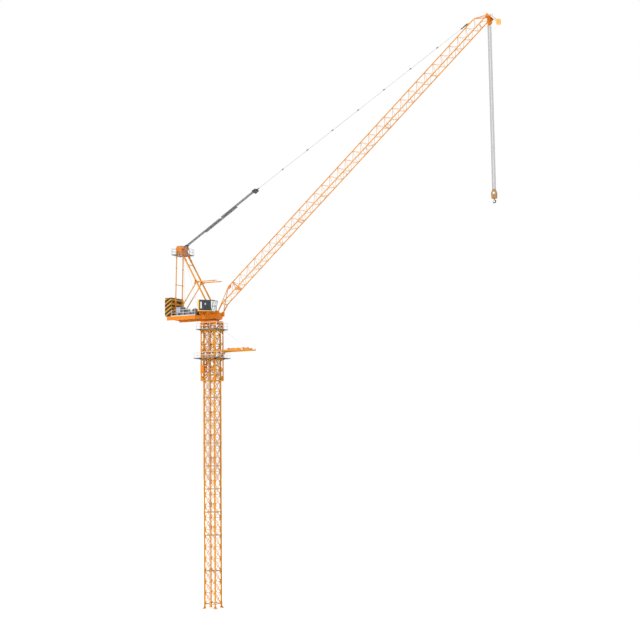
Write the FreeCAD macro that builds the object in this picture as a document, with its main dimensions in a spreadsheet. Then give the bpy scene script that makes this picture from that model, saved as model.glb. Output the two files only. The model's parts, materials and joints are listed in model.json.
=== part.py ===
import FreeCAD
import Part
import math
import os

# Luffing-jib tower crane, scale model 1:10 (millimetres of the model).
# Frame: origin on the mast axis at the underside of the feet, +X under the jib, +Y to the far side, +Z up.

V = FreeCAD.Vector
doc = FreeCAD.newDocument("tower_crane")

# ----------------------------------------------------------------------------- driving dimensions
sheet = doc.addObject("Spreadsheet::Sheet", "dims")
CELLS = [
    ("foot_plate", 44), ("foot_thick", 12), ("foot_hole_radius", 3), ("foot_hole_pos", 127), ("foot_inner", 91),
    ("mast_half", 105), ("leg_size", 24), ("mast_top", 4975), ("lattice_thick", 8), ("brace_wide", 7), ("tie_wide", 14),
    ("light_wide", 7), ("base_low", 80), ("base_mid", 640), ("base_high", 1250), ("section_high", 400),
    ("landing_thick", 3), ("ladder_stile", 5), ("ladder_half", 20), ("rung_pitch", 100),
    ("cage_half", 141), ("cage_post", 16), ("cage_low", 3938), ("cage_brace", 7),
    ("low_deck", 4338), ("low_deck_half", 240), ("high_deck", 4850), ("high_deck_half", 210), ("board_thick", 8),
    ("rail_high", 110), ("rail_high_low", 98), ("rail_bar", 4),
    ("barrel_radius", 10), ("rod_radius", 5), ("cylinder_pos", -120), ("cylinder_low", 4112), ("cylinder_high", 4359),
    ("pack_long", 66), ("pack_deep", 22), ("pack_high", 150), ("pack_low", 4068),
    ("rail_beam_wide", 12), ("rail_beam_high", 24), ("rail_beam_low", 4448), ("rail_beam_end", 800),
    ("trolley_rear", 385), ("trolley_long", 355), ("trolley_gap", 5),
    ("ring_radius", 125), ("turn_half", 135), ("turn_low_half", 145), ("turn_low_top", 5000), ("ring_low_top", 5018), ("ring_gap", 5), ("ring_up_top", 5040), ("turn_up_top", 5150),
    ("deck_low", 5040), ("deck_high", 5105), ("deck_plate", 6), ("deck_rear", 806), ("deck_half", 215), ("girder_half", 90), ("girder_wide", 24),
    ("weight_rear", -848), ("weight_thick", 41), ("weight_gap", 2), ("weight_high", 342), ("weight_chamfer", 26),
    ("hoist_drum_x", -315), ("hoist_drum_z", 5190), ("hoist_drum_radius", 44), ("hoist_flange_radius", 60), ("hoist_drum_long", 130),
    ("luff_drum_x", -535), ("luff_drum_z", 5186), ("luff_drum_radius", 38), ("luff_flange_radius", 54), ("luff_drum_long", 110),
    ("flange_thick", 6), ("shaft_radius", 9), ("bearing_gap", 5),
    ("cab_rear", -122), ("cab_near", -290), ("cab_wide", 153), ("cab_wall", 5), ("glass_thick", 3),
    ("pivot_x", 180), ("pivot_z", 5155), ("pivot_half", 95), ("pin_radius", 6), ("pin_play", 0.08), ("eye_radius", 15), ("eye_wide", 16), ("lug_thick", 8),
    ("jib_angle", 41.53), ("jib_half", 98.7), ("jib_plane", 49), ("jib_deep", 178), ("chord_size", 14), ("jib_lace", 4.5), ("jib_pitch", 196.4),
    ("jib_chord_start", 150), ("jib_chord_end", 6797), ("jib_top_start", 410), ("jib_top_end", 6630),
    ("tip_sheave_s", 6736), ("tip_sheave_t", -38), ("tip_sheave_radius", 26), ("tip_sheave_wide", 12),
    ("frame_leg", 22), ("frame_half", 95), ("tie_half", 109), ("tie_size", 14), ("head_low", 6240),
    ("rope_radius", 2.5), ("fall_half", 28.6), ("hook_block_top", 6840), ("link_s", 6480), ("link_t", 250),
    ("head_pin_x", -545), ("head_pin_z", 6372), ("pendant_radius", 5), ("block_from_head", 1660),
]
for i, (alias, value) in enumerate(CELLS, 1):
    sheet.set("A%d" % i, alias)
    sheet.set("B%d" % i, str(value))
    sheet.setAlias("B%d" % i, alias)
doc.recompute()
D = {alias: float(sheet.get(alias)) for alias, _ in CELLS}

NODES = []  # every sub-part that is written out


def node(obj, name):
    obj.Label = name
    NODES.append(obj)
    return obj


def ex(text):
    """An expression on the sheet: words that are aliases become dims.alias."""
    out, word = "", ""
    for ch in str(text) + " ":
        if ch.isalnum() or ch == "_":
            word += ch
        else:
            out += ("dims." + word if word in D else word) + ch
            word = ""
    return out.strip()


def place(obj, x, y, z):
    for axis, val in zip("xyz", (x, y, z)):
        obj.setExpression("Placement.Base." + axis, ex(val))


def box(name, x, y, z, lx, ly, lz):
    o = doc.addObject("Part::Box", name)
    for prop, val in (("Length", lx), ("Width", ly), ("Height", lz)):
        o.setExpression(prop, ex(val))
    place(o, x, y, z)
    return o


def cyl(name, r, length, x, y, z, axis="z"):
    o = doc.addObject("Part::Cylinder", name)
    o.setExpression("Radius", ex(r))
    o.setExpression("Height", ex(length))
    if axis == "y":
        o.Placement = FreeCAD.Placement(V(0, 0, 0), FreeCAD.Rotation(V(1, 0, 0), -90))
    elif axis == "x":
        o.Placement = FreeCAD.Placement(V(0, 0, 0), FreeCAD.Rotation(V(0, 1, 0), 90))
    place(o, x, y, z)
    return o


def fuse(name, parts):
    o = doc.addObject("Part::MultiFuse", name)
    o.Shapes = parts
    return o


def cut(name, base, tool):
    o = doc.addObject("Part::Cut", name)
    o.Base = base
    o.Tool = tool
    return o


def compound(name, parts):
    o = doc.addObject("Part::Compound", name)
    o.Links = parts
    return o


def feature(name, shape):
    o = doc.addObject("Part::Feature", name)
    o.Shape = shape
    return o


def bar(p, q, w, up=V(0, 0, 1), h=None):
    """A straight bar of rectangular section from p to q: w across, h along up."""
    h = h or w
    d = q - p
    length = d.Length
    x = V(d)
    x.normalize()
    side = up.cross(x)
    side.normalize()
    top = x.cross(side)
    m = FreeCAD.Matrix(x.x, side.x, top.x, p.x, x.y, side.y, top.y, p.y, x.z, side.z, top.z, p.z, 0, 0, 0, 1)
    b = Part.makeBox(length, w, h, V(0, -w / 2.0, -h / 2.0))
    return b.transformGeometry(m) if False else b.transformed(m)


def rod(p, q, r):
    d = q - p
    return Part.makeCylinder(r, d.Length, p, d)


def merge(shapes):
    out = shapes[0].multiFuse(shapes[1:]) if len(shapes) > 1 else shapes[0]
    out = out.removeSplitter()
    return out


def solid_of(shape):
    return shape.Solids[0] if len(shape.Solids) == 1 else Part.makeCompound(shape.Solids)


# ----------------------------------------------------------------------------- feet and mast
feet = []
legs = []
for k, (sx, sy) in enumerate([(-1, -1), (-1, 1), (1, -1), (1, 1)], 1):
    fx = "foot_inner" if sx > 0 else "0 - foot_inner - foot_plate"
    fy = "foot_inner" if sy > 0 else "0 - foot_inner - foot_plate"
    plate = box("foot_plate_%d" % k, fx, fy, "0", "foot_plate", "foot_plate", "foot_thick")
    hole = cyl("foot_hole_%d" % k, "foot_hole_radius", "foot_thick + 2", "%d * foot_hole_pos" % sx, "%d * foot_hole_pos" % sy, "0 - 1")
    feet.append(cut("foot_%d" % k, plate, hole))
    legs.append(box("leg_%d" % k, "%d * mast_half - leg_size / 2" % sx, "%d * mast_half - leg_size / 2" % sy, "foot_thick", "leg_size", "leg_size", "mast_top - foot_thick"))
node(compound("base_feet_set", feet), "base_feet")
node(compound("mast_legs_set", legs), "mast_legs")


def mast_face(axis, sign):
    """One flat side of the mast lattice, between the legs: main ties at the section joints, light ties at the
    quarter points, and crossed diagonals whose crossings sit on the joints and half way up each section."""
    half = D["mast_half"] - D["leg_size"] / 2.0
    t = D["lattice_thick"]
    plane = sign * D["mast_half"]

    def pt(u, z):
        return V(u, plane, z) if axis == "y" else V(plane, u, z)

    up = V(0, 1, 0) if axis == "y" else V(1, 0, 0)
    bars = []

    def tie(z, w):
        bars.append(bar(pt(-half, z), pt(half, z), w, up, t))

    def cross(z0, z1):
        w = D["brace_wide"]
        for a, b in ((z0, z1), (z1, z0)):
            bars.append(bar(pt(-half, a), pt(half, b), w, up, t))

    low, mid, high, sec = D["base_low"], D["base_mid"], D["base_high"], D["section_high"]
    for z0, z1 in ((low, mid), (mid, high)):
        step = (z1 - z0) / 3.0
        for i in range(3):
            cross(z0 + i * step, z0 + (i + 1) * step)
            if i:
                tie(z0 + i * step, D["light_wide"])
    for z in (low, mid, high):
        tie(z, D["tie_wide"])
    q = sec / 4.0
    for a in (-half, half):
        bars.append(bar(pt(0, high), pt(a, high + q), D["brace_wide"], up, t))
    z = high + q
    n = 0
    while z + 2 * q <= D["mast_top"] - 20:
        cross(z, z + 2 * q)
        tie(z, D["light_wide"])
        if n % 2:
            tie(z + q, D["tie_wide"])
        z += 2 * q
        n += 1
    tie(z, D["light_wide"])
    shape = merge(bars)
    # square ends against the legs
    zlo, zhi = D["foot_thick"], D["mast_top"]
    if axis == "y":
        clip = Part.makeBox(2 * half, t + 2, zhi - zlo, V(-half, plane - t / 2 - 1, zlo))
    else:
        clip = Part.makeBox(t + 2, 2 * half, zhi - zlo, V(plane - t / 2 - 1, -half, zlo))
    return solid_of(shape.common(clip))


for label, axis, sign in (("mast_lattice_front", "x", 1), ("mast_lattice_rear", "x", -1), ("mast_lattice_near", "y", -1), ("mast_lattice_far", "y", 1)):
    node(feature(label + "_shape", mast_face(axis, sign)), label)

landings = []
for k in range(9):
    landings.append(box("landing_%d" % k, "0 - 60", "0 - mast_half + lattice_thick / 2", "base_high + %d * section_high - landing_thick / 2" % k, "60 + mast_half - leg_size / 2", "2 * mast_half - lattice_thick", "landing_thick"))
landings.append(box("landing_base", "0 - 60", "0 - mast_half + lattice_thick / 2", "base_mid - landing_thick / 2", "60 + mast_half - leg_size / 2", "2 * mast_half - lattice_thick", "landing_thick"))
node(compound("mast_landings_set", landings), "mast_landings")

st = D["ladder_stile"]
lad = [Part.makeBox(st, st, 4900 - D["foot_thick"], V(-60 - st, s * D["ladder_half"] - st / 2, D["foot_thick"])) for s in (-1, 1)]
z = 60.0
while z < 4880:
    lad.append(Part.makeBox(3, 2 * D["ladder_half"], 3, V(-60 - st / 2 - 1.5, -D["ladder_half"], z)))
    z += D["rung_pitch"]
node(feature("mast_ladder_shape", solid_of(merge(lad))), "mast_ladder")

# ----------------------------------------------------------------------------- climbing cage
posts = []
for k, (sx, sy) in enumerate([(-1, -1), (-1, 1), (1, -1), (1, 1)], 1):
    p = box("cage_post_%d" % k, "%d * cage_half - cage_post / 2" % sx, "%d * cage_half - cage_post / 2" % sy, "cage_low", "cage_post", "cage_post", "mast_top - cage_low")
    blocks = [p]
    for j, zz in enumerate((3990, 4400, 4800)):
        gx = "mast_half + leg_size / 2" if sx > 0 else "0 - cage_half + cage_post / 2"
        gy = "mast_half - leg_size / 2 + 4" if sy > 0 else "0 - cage_half + 4"
        blocks.append(box("guide_%d_%d" % (k, j), gx, gy, str(zz), "cage_half - cage_post / 2 - mast_half - leg_size / 2", "cage_half - mast_half + leg_size / 2 - 8", "34"))
    posts.append(fuse("cage_corner_%d" % k, blocks))
node(compound("cage_posts_set", posts), "cage_posts")


def cage_face(axis, sign, panels, ties):
    half = D["cage_half"] - D["cage_post"] / 2.0
    t = D["lattice_thick"]
    plane = sign * D["cage_half"]

    def pt(u, z):
        return V(u, plane, z) if axis == "y" else V(plane, u, z)

    up = V(0, 1, 0) if axis == "y" else V(1, 0, 0)
    bars = []
    for z, w in ties:
        bars.append(bar(pt(-half, z), pt(half, z), w, up, t))
    for z0, z1 in panels:
        for a, b in ((z0, z1), (z1, z0)):
            bars.append(bar(pt(-half, a), pt(half, b), D["cage_brace"], up, t))
    shape = merge(bars)
    if axis == "y":
        clip = Part.makeBox(2 * half, t + 2, 1037, V(-half, plane - t / 2 - 1, 3938))
    else:
        clip = Part.makeBox(t + 2, 2 * half, 1037, V(plane - t / 2 - 1, -half, 3938))
    return solid_of(shape.common(clip))


side_panels = [(3946, 4140), (4140, 4330), (4380, 4600), (4600, 4840)]
side_ties = [(3946, 16), (4140, 8), (4322, 16), (4380, 12), (4460, 14), (4600, 8), (4836, 16), (4965, 16)]
side_panels_top = side_panels + [(4840, 4965)]
side_link = [(4330, 4380)]
node(feature("cage_frame_near_shape", cage_face("y", -1, side_panels_top + side_link, side_ties)), "cage_frame_near")
node(feature("cage_frame_far_shape", cage_face("y", 1, side_panels_top + side_link, side_ties)), "cage_frame_far")
node(feature("cage_frame_rear_shape", cage_face("x", -1, side_panels_top + side_link, side_ties)), "cage_frame_rear")
node(feature("cage_frame_front_shape", cage_face("x", 1, [(3946, 4140), (4140, 4330), (4840, 4965)], [(3946, 16), (4140, 8), (4326, 16), (4840, 12), (4965, 16)])), "cage_frame_front")


def deck_ring(prefix, zname, halfname):
    out = []
    inner = "cage_half + cage_post / 2"
    wide = halfname + " - cage_half - cage_post / 2"
    for s in (-1, 1):
        y = "0 - " + halfname if s < 0 else inner
        out.append(box("%s_long_%d" % (prefix, s + 2), "0 - " + halfname, y, zname, "2 * " + halfname, wide, "board_thick"))
        x = "0 - " + halfname if s < 0 else inner
        out.append(box("%s_short_%d" % (prefix, s + 2), x, "0 - cage_half - cage_post / 2 + 1.5", zname, wide, "2 * cage_half + cage_post - 3", "board_thick"))
    return out


node(compound("cage_platforms_set", deck_ring("low_board", "low_deck", "low_deck_half") + deck_ring("high_board", "high_deck", "high_deck_half")), "cage_platforms")


def fence(p, q, high, step, bar_w=None):
    """A railing panel on the line p-q: posts, a knee rail and a top rail, as one solid."""
    w = bar_w or D["rail_bar"]
    d = q - p
    n = max(1, int(round(d.Length / step)))
    x = V(d)
    x.normalize()
    parts = []
    for i in range(n + 1):
        c = p + d * (i / float(n))
        if i == 0:
            c = c + x * (w / 2)
        if i == n:
            c = c - x * (w / 2)
        parts.append(bar(c, c + V(0, 0, high), w, V(d.x, d.y, 0).cross(V(0, 0, 1))))
    for h in (high / 2, high - w / 2):
        parts.append(bar(p + V(0, 0, h), q + V(0, 0, h), w))
    return merge(parts).Solids[0]


rails = []
for zname, hname in (("low_deck", "low_deck_half"), ("high_deck", "high_deck_half")):
    zz = D[zname] + D["board_thick"]
    hh = D[hname] - 4
    rh = D["rail_high_low"] if zname == "low_deck" else D["rail_high"]
    for s in (-1, 1):
        rails.append(fence(V(-hh, s * hh, zz), V(hh, s * hh, zz), rh, 120))
        rails.append(fence(V(s * hh, -hh + 6, zz), V(s * hh, hh - 6, zz), rh, 120))
node(feature("cage_railings_shape", Part.makeCompound(rails)), "cage_railings")

ram = [
    cyl("ram_barrel", "barrel_radius", "cylinder_high - cylinder_low - 60", "cylinder_pos", "0", "cylinder_low + 60"),
    cyl("ram_rod", "rod_radius", "64", "cylinder_pos", "0", "cylinder_low - 2"),
    box("ram_yoke", "0 - 129", "0 - 90", "cylinder_low - 16", "20", "180", "16"),
    box("ram_bracket", "0 - 131", "0 - 14", "cylinder_high - 2", "20", "28", "18"),
]
node(fuse("ram_body", ram), "climbing_cylinder")
node(box("power_pack_box", "0 - 140", "0 - cage_half - cage_post / 2 - pack_deep", "pack_low", "pack_long", "pack_deep", "pack_high"), "cage_power_pack")

# introduction rails: two beams on the front posts, tied at the outer end
rb = []
for s in (-1, 1):
    rb.append(box("intro_beam_%d" % (s + 2), "cage_half + cage_post / 2", "%d * cage_half - rail_beam_wide / 2" % s, "rail_beam_low", "rail_beam_end - cage_half - cage_post / 2", "rail_beam_wide", "rail_beam_high"))
rb.append(box("intro_end_tie", "rail_beam_end - 12", "0 - cage_half", "rail_beam_low", "12", "2 * cage_half", "12"))
node(fuse("intro_rails", rb), "introduction_rails")
stays = []
for s in (-1, 1):
    y = s * (D["cage_half"] + 12)
    rodd = rod(V(142, y, 4838), V(690, y, 4466), 2.5)
    lug_a = Part.makeBox(16, 9, 16, V(133, min(s * 149, s * 158), 4830))
    lug_b = Part.makeBox(20, 11, 18, V(680, min(s * 147, s * 158), 4456))
    stays.append(merge([rodd, lug_a, lug_b]).Solids[0])
node(feature("introduction_stays_shape", Part.makeCompound(stays)), "introduction_stays")
tr = []
top = "rail_beam_low + rail_beam_high + trolley_gap"
for s in (-1, 1):
    tr.append(box("trolley_side_%d" % (s + 2), "trolley_rear", "%d * cage_half - 4" % s, top, "trolley_long", "8", "14"))
for j, fx in enumerate((0, 0.5, 1)):
    tr.append(box("trolley_cross_%d" % j, "trolley_rear + %g * (trolley_long - 12)" % fx, "0 - cage_half", top, "12", "2 * cage_half", "12"))
node(fuse("trolley_frame", tr), "introduction_trolley")

# ----------------------------------------------------------------------------- turntable
node(fuse("turn_lower", [box("turn_low_box", "0 - turn_low_half", "0 - turn_low_half", "mast_top", "2 * turn_low_half", "2 * turn_low_half", "turn_low_top - mast_top"), cyl("turn_low_ring", "ring_radius", "ring_low_top - turn_low_top + 1", "0", "0", "turn_low_top - 1")]), "turntable_lower")
node(fuse("turn_upper", [
    box("turn_up_box", "0 - turn_half", "0 - turn_half", "ring_up_top", "2 * turn_half", "2 * turn_half", "turn_up_top - ring_up_top"),
    cyl("turn_up_ring", "ring_radius", "ring_up_top - ring_low_top - ring_gap + 1", "0", "0", "ring_low_top + ring_gap"),
]), "turntable_upper")

# pivot lugs for the jib and the front block that carries them
lugs = [box("front_block", "turn_half", "0 - 112", "deck_low + 25", "20", "224", "turn_up_top - deck_low - 25")]
for s in (-1, 1):
    for j, off in enumerate(("0 - eye_wide / 2 - 1 - lug_thick", "eye_wide / 2 + 1")):
        lugs.append(box("pivot_lug_%d_%d" % (s + 2, j), "turn_half + 19", "%d * pivot_half + %s" % (s, off), "deck_low + 45", "pivot_x - turn_half - 19 + 12", "lug_thick", "pivot_z - deck_low - 45 + 12"))
    lugs.append(cyl("pivot_pin_%d" % (s + 2), "pin_radius", "eye_wide + 2 + 2 * lug_thick + 4", "pivot_x", "%d * pivot_half - eye_wide / 2 - 1 - lug_thick - 2" % s, "pivot_z", "y"))
node(fuse("pivot_block", lugs), "jib_pivot_block")

# ----------------------------------------------------------------------------- counter-deck
fr = []
for s in (-1, 1):
    fr.append(box("girder_%d" % (s + 2), "0 - deck_rear", "%d * girder_half - girder_wide / 2" % s, "deck_low + 34", "deck_rear - turn_half", "girder_wide", "deck_high - deck_low - 34"))
    fr.append(box("edge_beam_%d" % (s + 2), "0 - deck_rear", "%d * (deck_half - 6) - 6" % s, "deck_low", "deck_rear - 215", "12", "deck_high - deck_low"))
for j, cx in enumerate((-806, -700, -560, -430, -300, -227)):
    fr.append(box("cross_beam_%d" % j, str(cx) if cx < 0 else cx, "0 - deck_half", "deck_high - 40", "12", "2 * deck_half", "40"))
node(fuse("deck_frame_body", fr), "deck_frame")
pl = []
for s in (-1, 1):
    y = "0 - deck_half" if s < 0 else "girder_half - 12"
    pl.append(box("walk_%d" % (s + 2), "0 - deck_rear", y, "deck_high", "deck_rear - 215", "deck_half - girder_half + 12", "deck_plate"))
pl.append(box("walk_mid", "0 - deck_rear", "0 - girder_half + 12.5", "deck_high", "deck_rear - 215", "2 * girder_half - 25", "deck_plate"))
pl.append(box("walk_front", "0 - 214", "0 - girder_half - 12", "deck_high", "79", "2 * girder_half + 24", "deck_plate"))
node(compound("deck_plates_set", pl), "deck_plates")
zt = D["deck_high"] + D["deck_plate"]
dr = []
for s in (-1, 1):
    dr.append(fence(V(-712, s * 211, zt), V(-222, s * 211, zt), D["rail_high"], 120))
node(feature("deck_railings_shape", Part.makeCompound(dr)), "deck_railings")

# counterweights: upright slabs with chamfered corners
slabs = []
c, hgt, hw = D["weight_chamfer"], D["weight_high"], D["deck_half"]
for k in range(3):
    body = doc.addObject("PartDesign::Body", "weight_body_%d" % k)
    sk = body.newObject("Sketcher::SketchObject", "weight_outline_%d" % k)
    origin = [f for f in body.Origin.OriginFeatures if f.Role == "YZ_Plane"][0]
    sk.AttachmentSupport = [(origin, "")]
    sk.MapMode = "FlatFace"
    pts = [(-hw + c, 0), (hw - c, 0), (hw, c), (hw, hgt - c), (hw - c, hgt), (-hw + c, hgt), (-hw, hgt - c), (-hw, c)]
    for i in range(8):
        a, b = pts[i], pts[(i + 1) % 8]
        sk.addGeometry(Part.LineSegment(V(a[0], a[1], 0), V(b[0], b[1], 0)), False)
    import Sketcher
    for i in range(8):
        sk.addConstraint(Sketcher.Constraint("Coincident", i, 2, (i + 1) % 8, 1))
    pad = body.newObject("PartDesign::Pad", "weight_pad_%d" % k)
    pad.Profile = sk
    pad.setExpression("Length", ex("weight_thick"))
    body.Tip = pad
    for axis, val in (("x", "weight_rear + %d * (weight_thick + weight_gap)" % k), ("y", "0"), ("z", "deck_high + deck_plate")):
        body.setExpression("Placement.Base." + axis, ex(val))
    slabs.append(body)
node(compound("counterweights_set", slabs), "counterweights")


def drum(prefix, x, zc, r, fr_, length):
    """Winch drum on its shaft: barrel, two flanges and the shaft ends."""
    half = "%s / 2" % length
    return fuse(prefix + "_solid", [
        cyl(prefix + "_barrel", r, length, x, "0 - " + half, zc, "y"),
        cyl(prefix + "_flange_a", fr_, "flange_thick", x, "0 - " + half, zc, "y"),
        cyl(prefix + "_flange_b", fr_, "flange_thick", x, half + " - flange_thick", zc, "y"),
        cyl(prefix + "_shaft", "shaft_radius", length + " + 2 * bearing_gap + 16", x, "0 - " + half + " - bearing_gap - 8", zc, "y"),
    ])


node(drum("hoist_drum", "hoist_drum_x", "hoist_drum_z", "hoist_drum_radius", "hoist_flange_radius", "hoist_drum_long"), "hoist_drum")
node(drum("luff_drum", "luff_drum_x", "luff_drum_z", "luff_drum_radius", "luff_flange_radius", "luff_drum_long"), "luffing_drum")
wf = []
for tag, x, zc, length, reach in (("hoist", "hoist_drum_x", "hoist_drum_z", "hoist_drum_long", 62), ("luff", "luff_drum_x", "luff_drum_z", "luff_drum_long", 56)):
    for s in (-1, 1):
        inner = "%s / 2 + bearing_gap" % length
        y = inner if s > 0 else "0 - (%s) - 10" % inner
        plate = box("%s_cheek_%d" % (tag, s + 2), "%s - %d" % (x, reach), y, "deck_high + deck_plate", "%d" % (2 * reach), "10", "%s - deck_high - deck_plate + 22" % zc)
        hole = cyl("%s_bearing_%d" % (tag, s + 2), "shaft_radius + 0.08", "14", x, y + " - 2", zc, "y")
        wf.append(cut("%s_stand_%d" % (tag, s + 2), plate, hole))
node(compound("winch_frames_set", wf), "winch_frames")
mo = [
    cyl("motor_hoist", "27", "72", "hoist_drum_x", "0 - 160", "deck_high + deck_plate + 47", "y"),
    cyl("motor_luff", "24", "72", "luff_drum_x - 80", "0 - 148", "deck_high + deck_plate + 44", "y"),
    box("motor_foot_hoist", "hoist_drum_x - 24", "0 - 156", "deck_high + deck_plate", "48", "60", "24"),
    box("motor_foot_luff", "luff_drum_x - 102", "0 - 144", "deck_high + deck_plate", "44", "60", "24"),
]
mh = fuse("motor_a", [mo[0], mo[2]])
ml = fuse("motor_b", [mo[1], mo[3]])
node(compound("winch_motors_set", [mh, ml]), "winch_motors")

# ----------------------------------------------------------------------------- cab
cab_pts = [(-122, 5162), (160, 5144), (200, 5340), (-122, 5368)]


def prism(points, y0, y1):
    w = Part.makePolygon([V(x, y0, z) for x, z in points] + [V(points[0][0], y0, points[0][1])])
    return Part.Face(w).extrude(V(0, y1 - y0, 0))


y0 = D["cab_near"]
y1 = y0 + D["cab_wide"]
wall = D["cab_wall"]
outer = prism(cab_pts, y0, y1)
inner = prism([(-122 + wall, 5162 + wall), (220, 5141 + wall), (250, 5336 - wall), (-122 + wall, 5368 - wall)], y0 + wall, y1 - wall)
shell = outer.cut(inner)
# side windows, one in each long side, and the door glass
near_win = [(152, 5170), (164, 5168), (190, 5326), (146, 5331)]
far_win = [(92, 5172), (166, 5168), (190, 5326), (92, 5334)]
shell = shell.cut(prism(near_win, y0 - 10, y0 + wall + 5)).cut(prism(far_win, y1 - wall - 5, y1 + 10))
win2 = prism([(-80, 5250), (60, 5240), (60, 5338), (-80, 5350)], y1 - wall - 5, y1 + 10)
shell = shell.cut(win2)
node(feature("cab_shell_shape", solid_of(shell)), "cab_shell")
g = D["glass_thick"]
# windscreen set just inside the frame, with the two front quarter panes and the deck-side pane
slope = (200.0 - 160.0) / (5340.0 - 5144.0)
ws = prism([(160 - 5 + slope * 6, 5144 + 6), (160 - 5 + g + slope * 6, 5144 + 6), (200 - 5 + g - slope * 6, 5340 - 6), (200 - 5 - slope * 6, 5340 - 6)], y0 + wall, y1 - wall)
inside = inner.common(prism(cab_pts, y0, y1))
ws = ws.common(inside)
panes = [ws.Solids[0]]
for ya, outline in ((y0 + 1, near_win), (y1 - 1 - g, far_win)):
    pane = prism(outline, ya, ya + g)
    panes.append(pane.cut(ws))
panes.append(prism([(-80, 5250), (60, 5240), (60, 5338), (-80, 5350)], y1 - 1 - g, y1 - 1))
panes = [p.Solids[0] if hasattr(p, "Solids") and p.Solids else p for p in panes]
node(feature("cab_glass_shape", Part.makeCompound(panes)), "cab_glass")
# skid and brackets under the cab, carried by the turntable
cb = [prism([(-118, 5150), (158, 5132.5), (158, 5144), (-118, 5161.7)], y0 + 8, y1 - 8)]
arms = [Part.makeBox(18, abs(y0) - 135 - 20, 26, V(xx, y0 + 20, 5112)) for xx in (-100, 60)]
arm_cut = prism([(-200, 5155), (220, 5128.4), (220, 5300), (-200, 5300)], y0 - 10, y1 + 10)
base = merge([cb[0]] + arms)
cutter = outer
base = base.cut(cutter)
posts_c = [Part.makeBox(18, 18, 40, V(xx, y0 + 60, 5112)) for xx in (-100, 60)]
base = merge([base] + [pc.cut(outer) for pc in posts_c]).cut(outer)
node(feature("cab_base_shape", solid_of(base)), "cab_base")

# ----------------------------------------------------------------------------- A-frame
H = D["frame_half"]
W = D["frame_leg"]
foot_a, top_a = V(58, 0, 5142), V(-562, 0, 6262)
turn_top = D["turn_up_top"]
fl = []
clip_low = Part.makeBox(2000, 600, 3000, V(-1500, -300, turn_top))
for s in (-1, 1):
    fl.append(bar(V(foot_a.x, s * H, foot_a.z), V(top_a.x, s * H, top_a.z), W, V(0, 1, 0)))
dirv = top_a - foot_a
for f in (0.53, 0.80):
    c0 = foot_a + dirv * f
    fl.append(bar(V(c0.x, -H, c0.z), V(c0.x, H, c0.z), 12))
front = merge(fl).common(clip_low)
cheek_pts = [(-684, 6236), (-548, 6236), (-538, 6262), (-566, 6320), (-532, 6358), (-534, 6382), (-556, 6392), (-660, 6392), (-684, 6360)]
cheeks = [prism(cheek_pts, s * H - 7, s * H + 7) for s in (-1, 1)]
beam = Part.makeBox(70, 2 * H, 48, V(-665, -H, 6250))
axle = Part.makeCylinder(7, 2 * H, V(-606, -H, 6342), V(0, 1, 0))
# round bosses that carry the head pin of the luffing line
bosses = [Part.makeCylinder(9, 22, V(D["head_pin_x"], 66 if s > 0 else -88, D["head_pin_z"]), V(0, 1, 0)) for s in (-1, 1)]
head = merge(cheeks + [beam, axle] + bosses)
front = front.cut(head)
node(feature("aframe_front_legs_shape", solid_of(front)), "aframe_front_legs")
sheaves = []
for y in (-54, -18, 18, 54):
    sh = Part.makeCylinder(28, 10, V(-606, y - 5, 6342), V(0, 1, 0))
    groove = Part.makeTorus(30, 4, V(-606, y, 6342), V(0, 1, 0))
    sh = sh.cut(groove)
    sheaves.append(sh.cut(Part.makeCylinder(7, 20, V(-606, y - 10, 6342), V(0, 1, 0))).Solids[0])
node(feature("aframe_head_shape", solid_of(head)), "aframe_head")
node(feature("aframe_sheaves_shape", Part.makeCompound(sheaves)), "aframe_sheaves")
T = D["tie_half"]
ts = D["tie_size"]
ties = []
for s in (-1, 1):
    ties.append(bar(V(-697, s * T, 5050), V(-662, s * T, 6300), ts, V(0, 1, 0)))
    ties.append(bar(V(-693, s * T, 5050), V(-686, s * T, 5450), 26, V(0, 1, 0), ts))
cz = 5690
ties.append(bar(V(-679, -T, cz), V(-679, T, cz), 10))
tie_shape = merge(ties).common(Part.makeBox(400, 400, 6300 - zt, V(-900, -200, zt)))
node(feature("aframe_rear_ties_shape", solid_of(tie_shape.cut(head))), "aframe_rear_ties")
st_shapes, bs_shapes = [], []
for s in (-1, 1):
    sb = bar(V(-700, s * H, 5100), V(-262, s * H, 5712), 12, V(0, 1, 0), 14)
    sb = sb.common(Part.makeBox(1000, 400, 1000, V(-900, -200, zt))).cut(front).cut(tie_shape)
    st_shapes.append(max(sb.Solids, key=lambda q: q.Volume))
    bb = merge([bar(V(-262, s * H, 5716), V(112, s * H, 5716), 16), rod(V(110, s * H, 5716), V(150, s * H, 5716), 5)])
    bb = bb.cut(front)
    bb = bb.cut(st_shapes[-1])
    bs_shapes.append(max(bb.Solids, key=lambda q: q.Volume))
node(feature("aframe_struts_shape", Part.makeCompound(st_shapes)), "aframe_struts")
node(feature("jib_backstops_shape", Part.makeCompound(bs_shapes)), "jib_backstops")
pf = []
for s in (-1, 1):
    yb = 116 if s > 0 else -152
    side = Part.makeBox(294, 36, 6, V(-752, yb, 6234))
    pf.append(merge([side, fence(V(-752, s * 149, 6240), V(-458, s * 149, 6240), 105, 98, 4)]).Solids[0])
rear_b = Part.makeBox(60, 230, 6, V(-752, -115, 6234))
pf.append(merge([rear_b, fence(V(-749, -115, 6240), V(-749, 115, 6240), 105, 115, 4)]).Solids[0])
front_b = Part.makeBox(60, 230, 6, V(-518, -115, 6234))
fb = merge([front_b, fence(V(-461, -115, 6240), V(-461, 115, 6240), 105, 115, 4)]).cut(front)
pf.append(max(fb.Solids, key=lambda q: q.Volume))
pf = [max(p.cut(head).cut(tie_shape).Solids, key=lambda q: q.Volume) for p in pf]
node(feature("aframe_platform_shape", Part.makeCompound(pf)), "aframe_platform")

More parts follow.
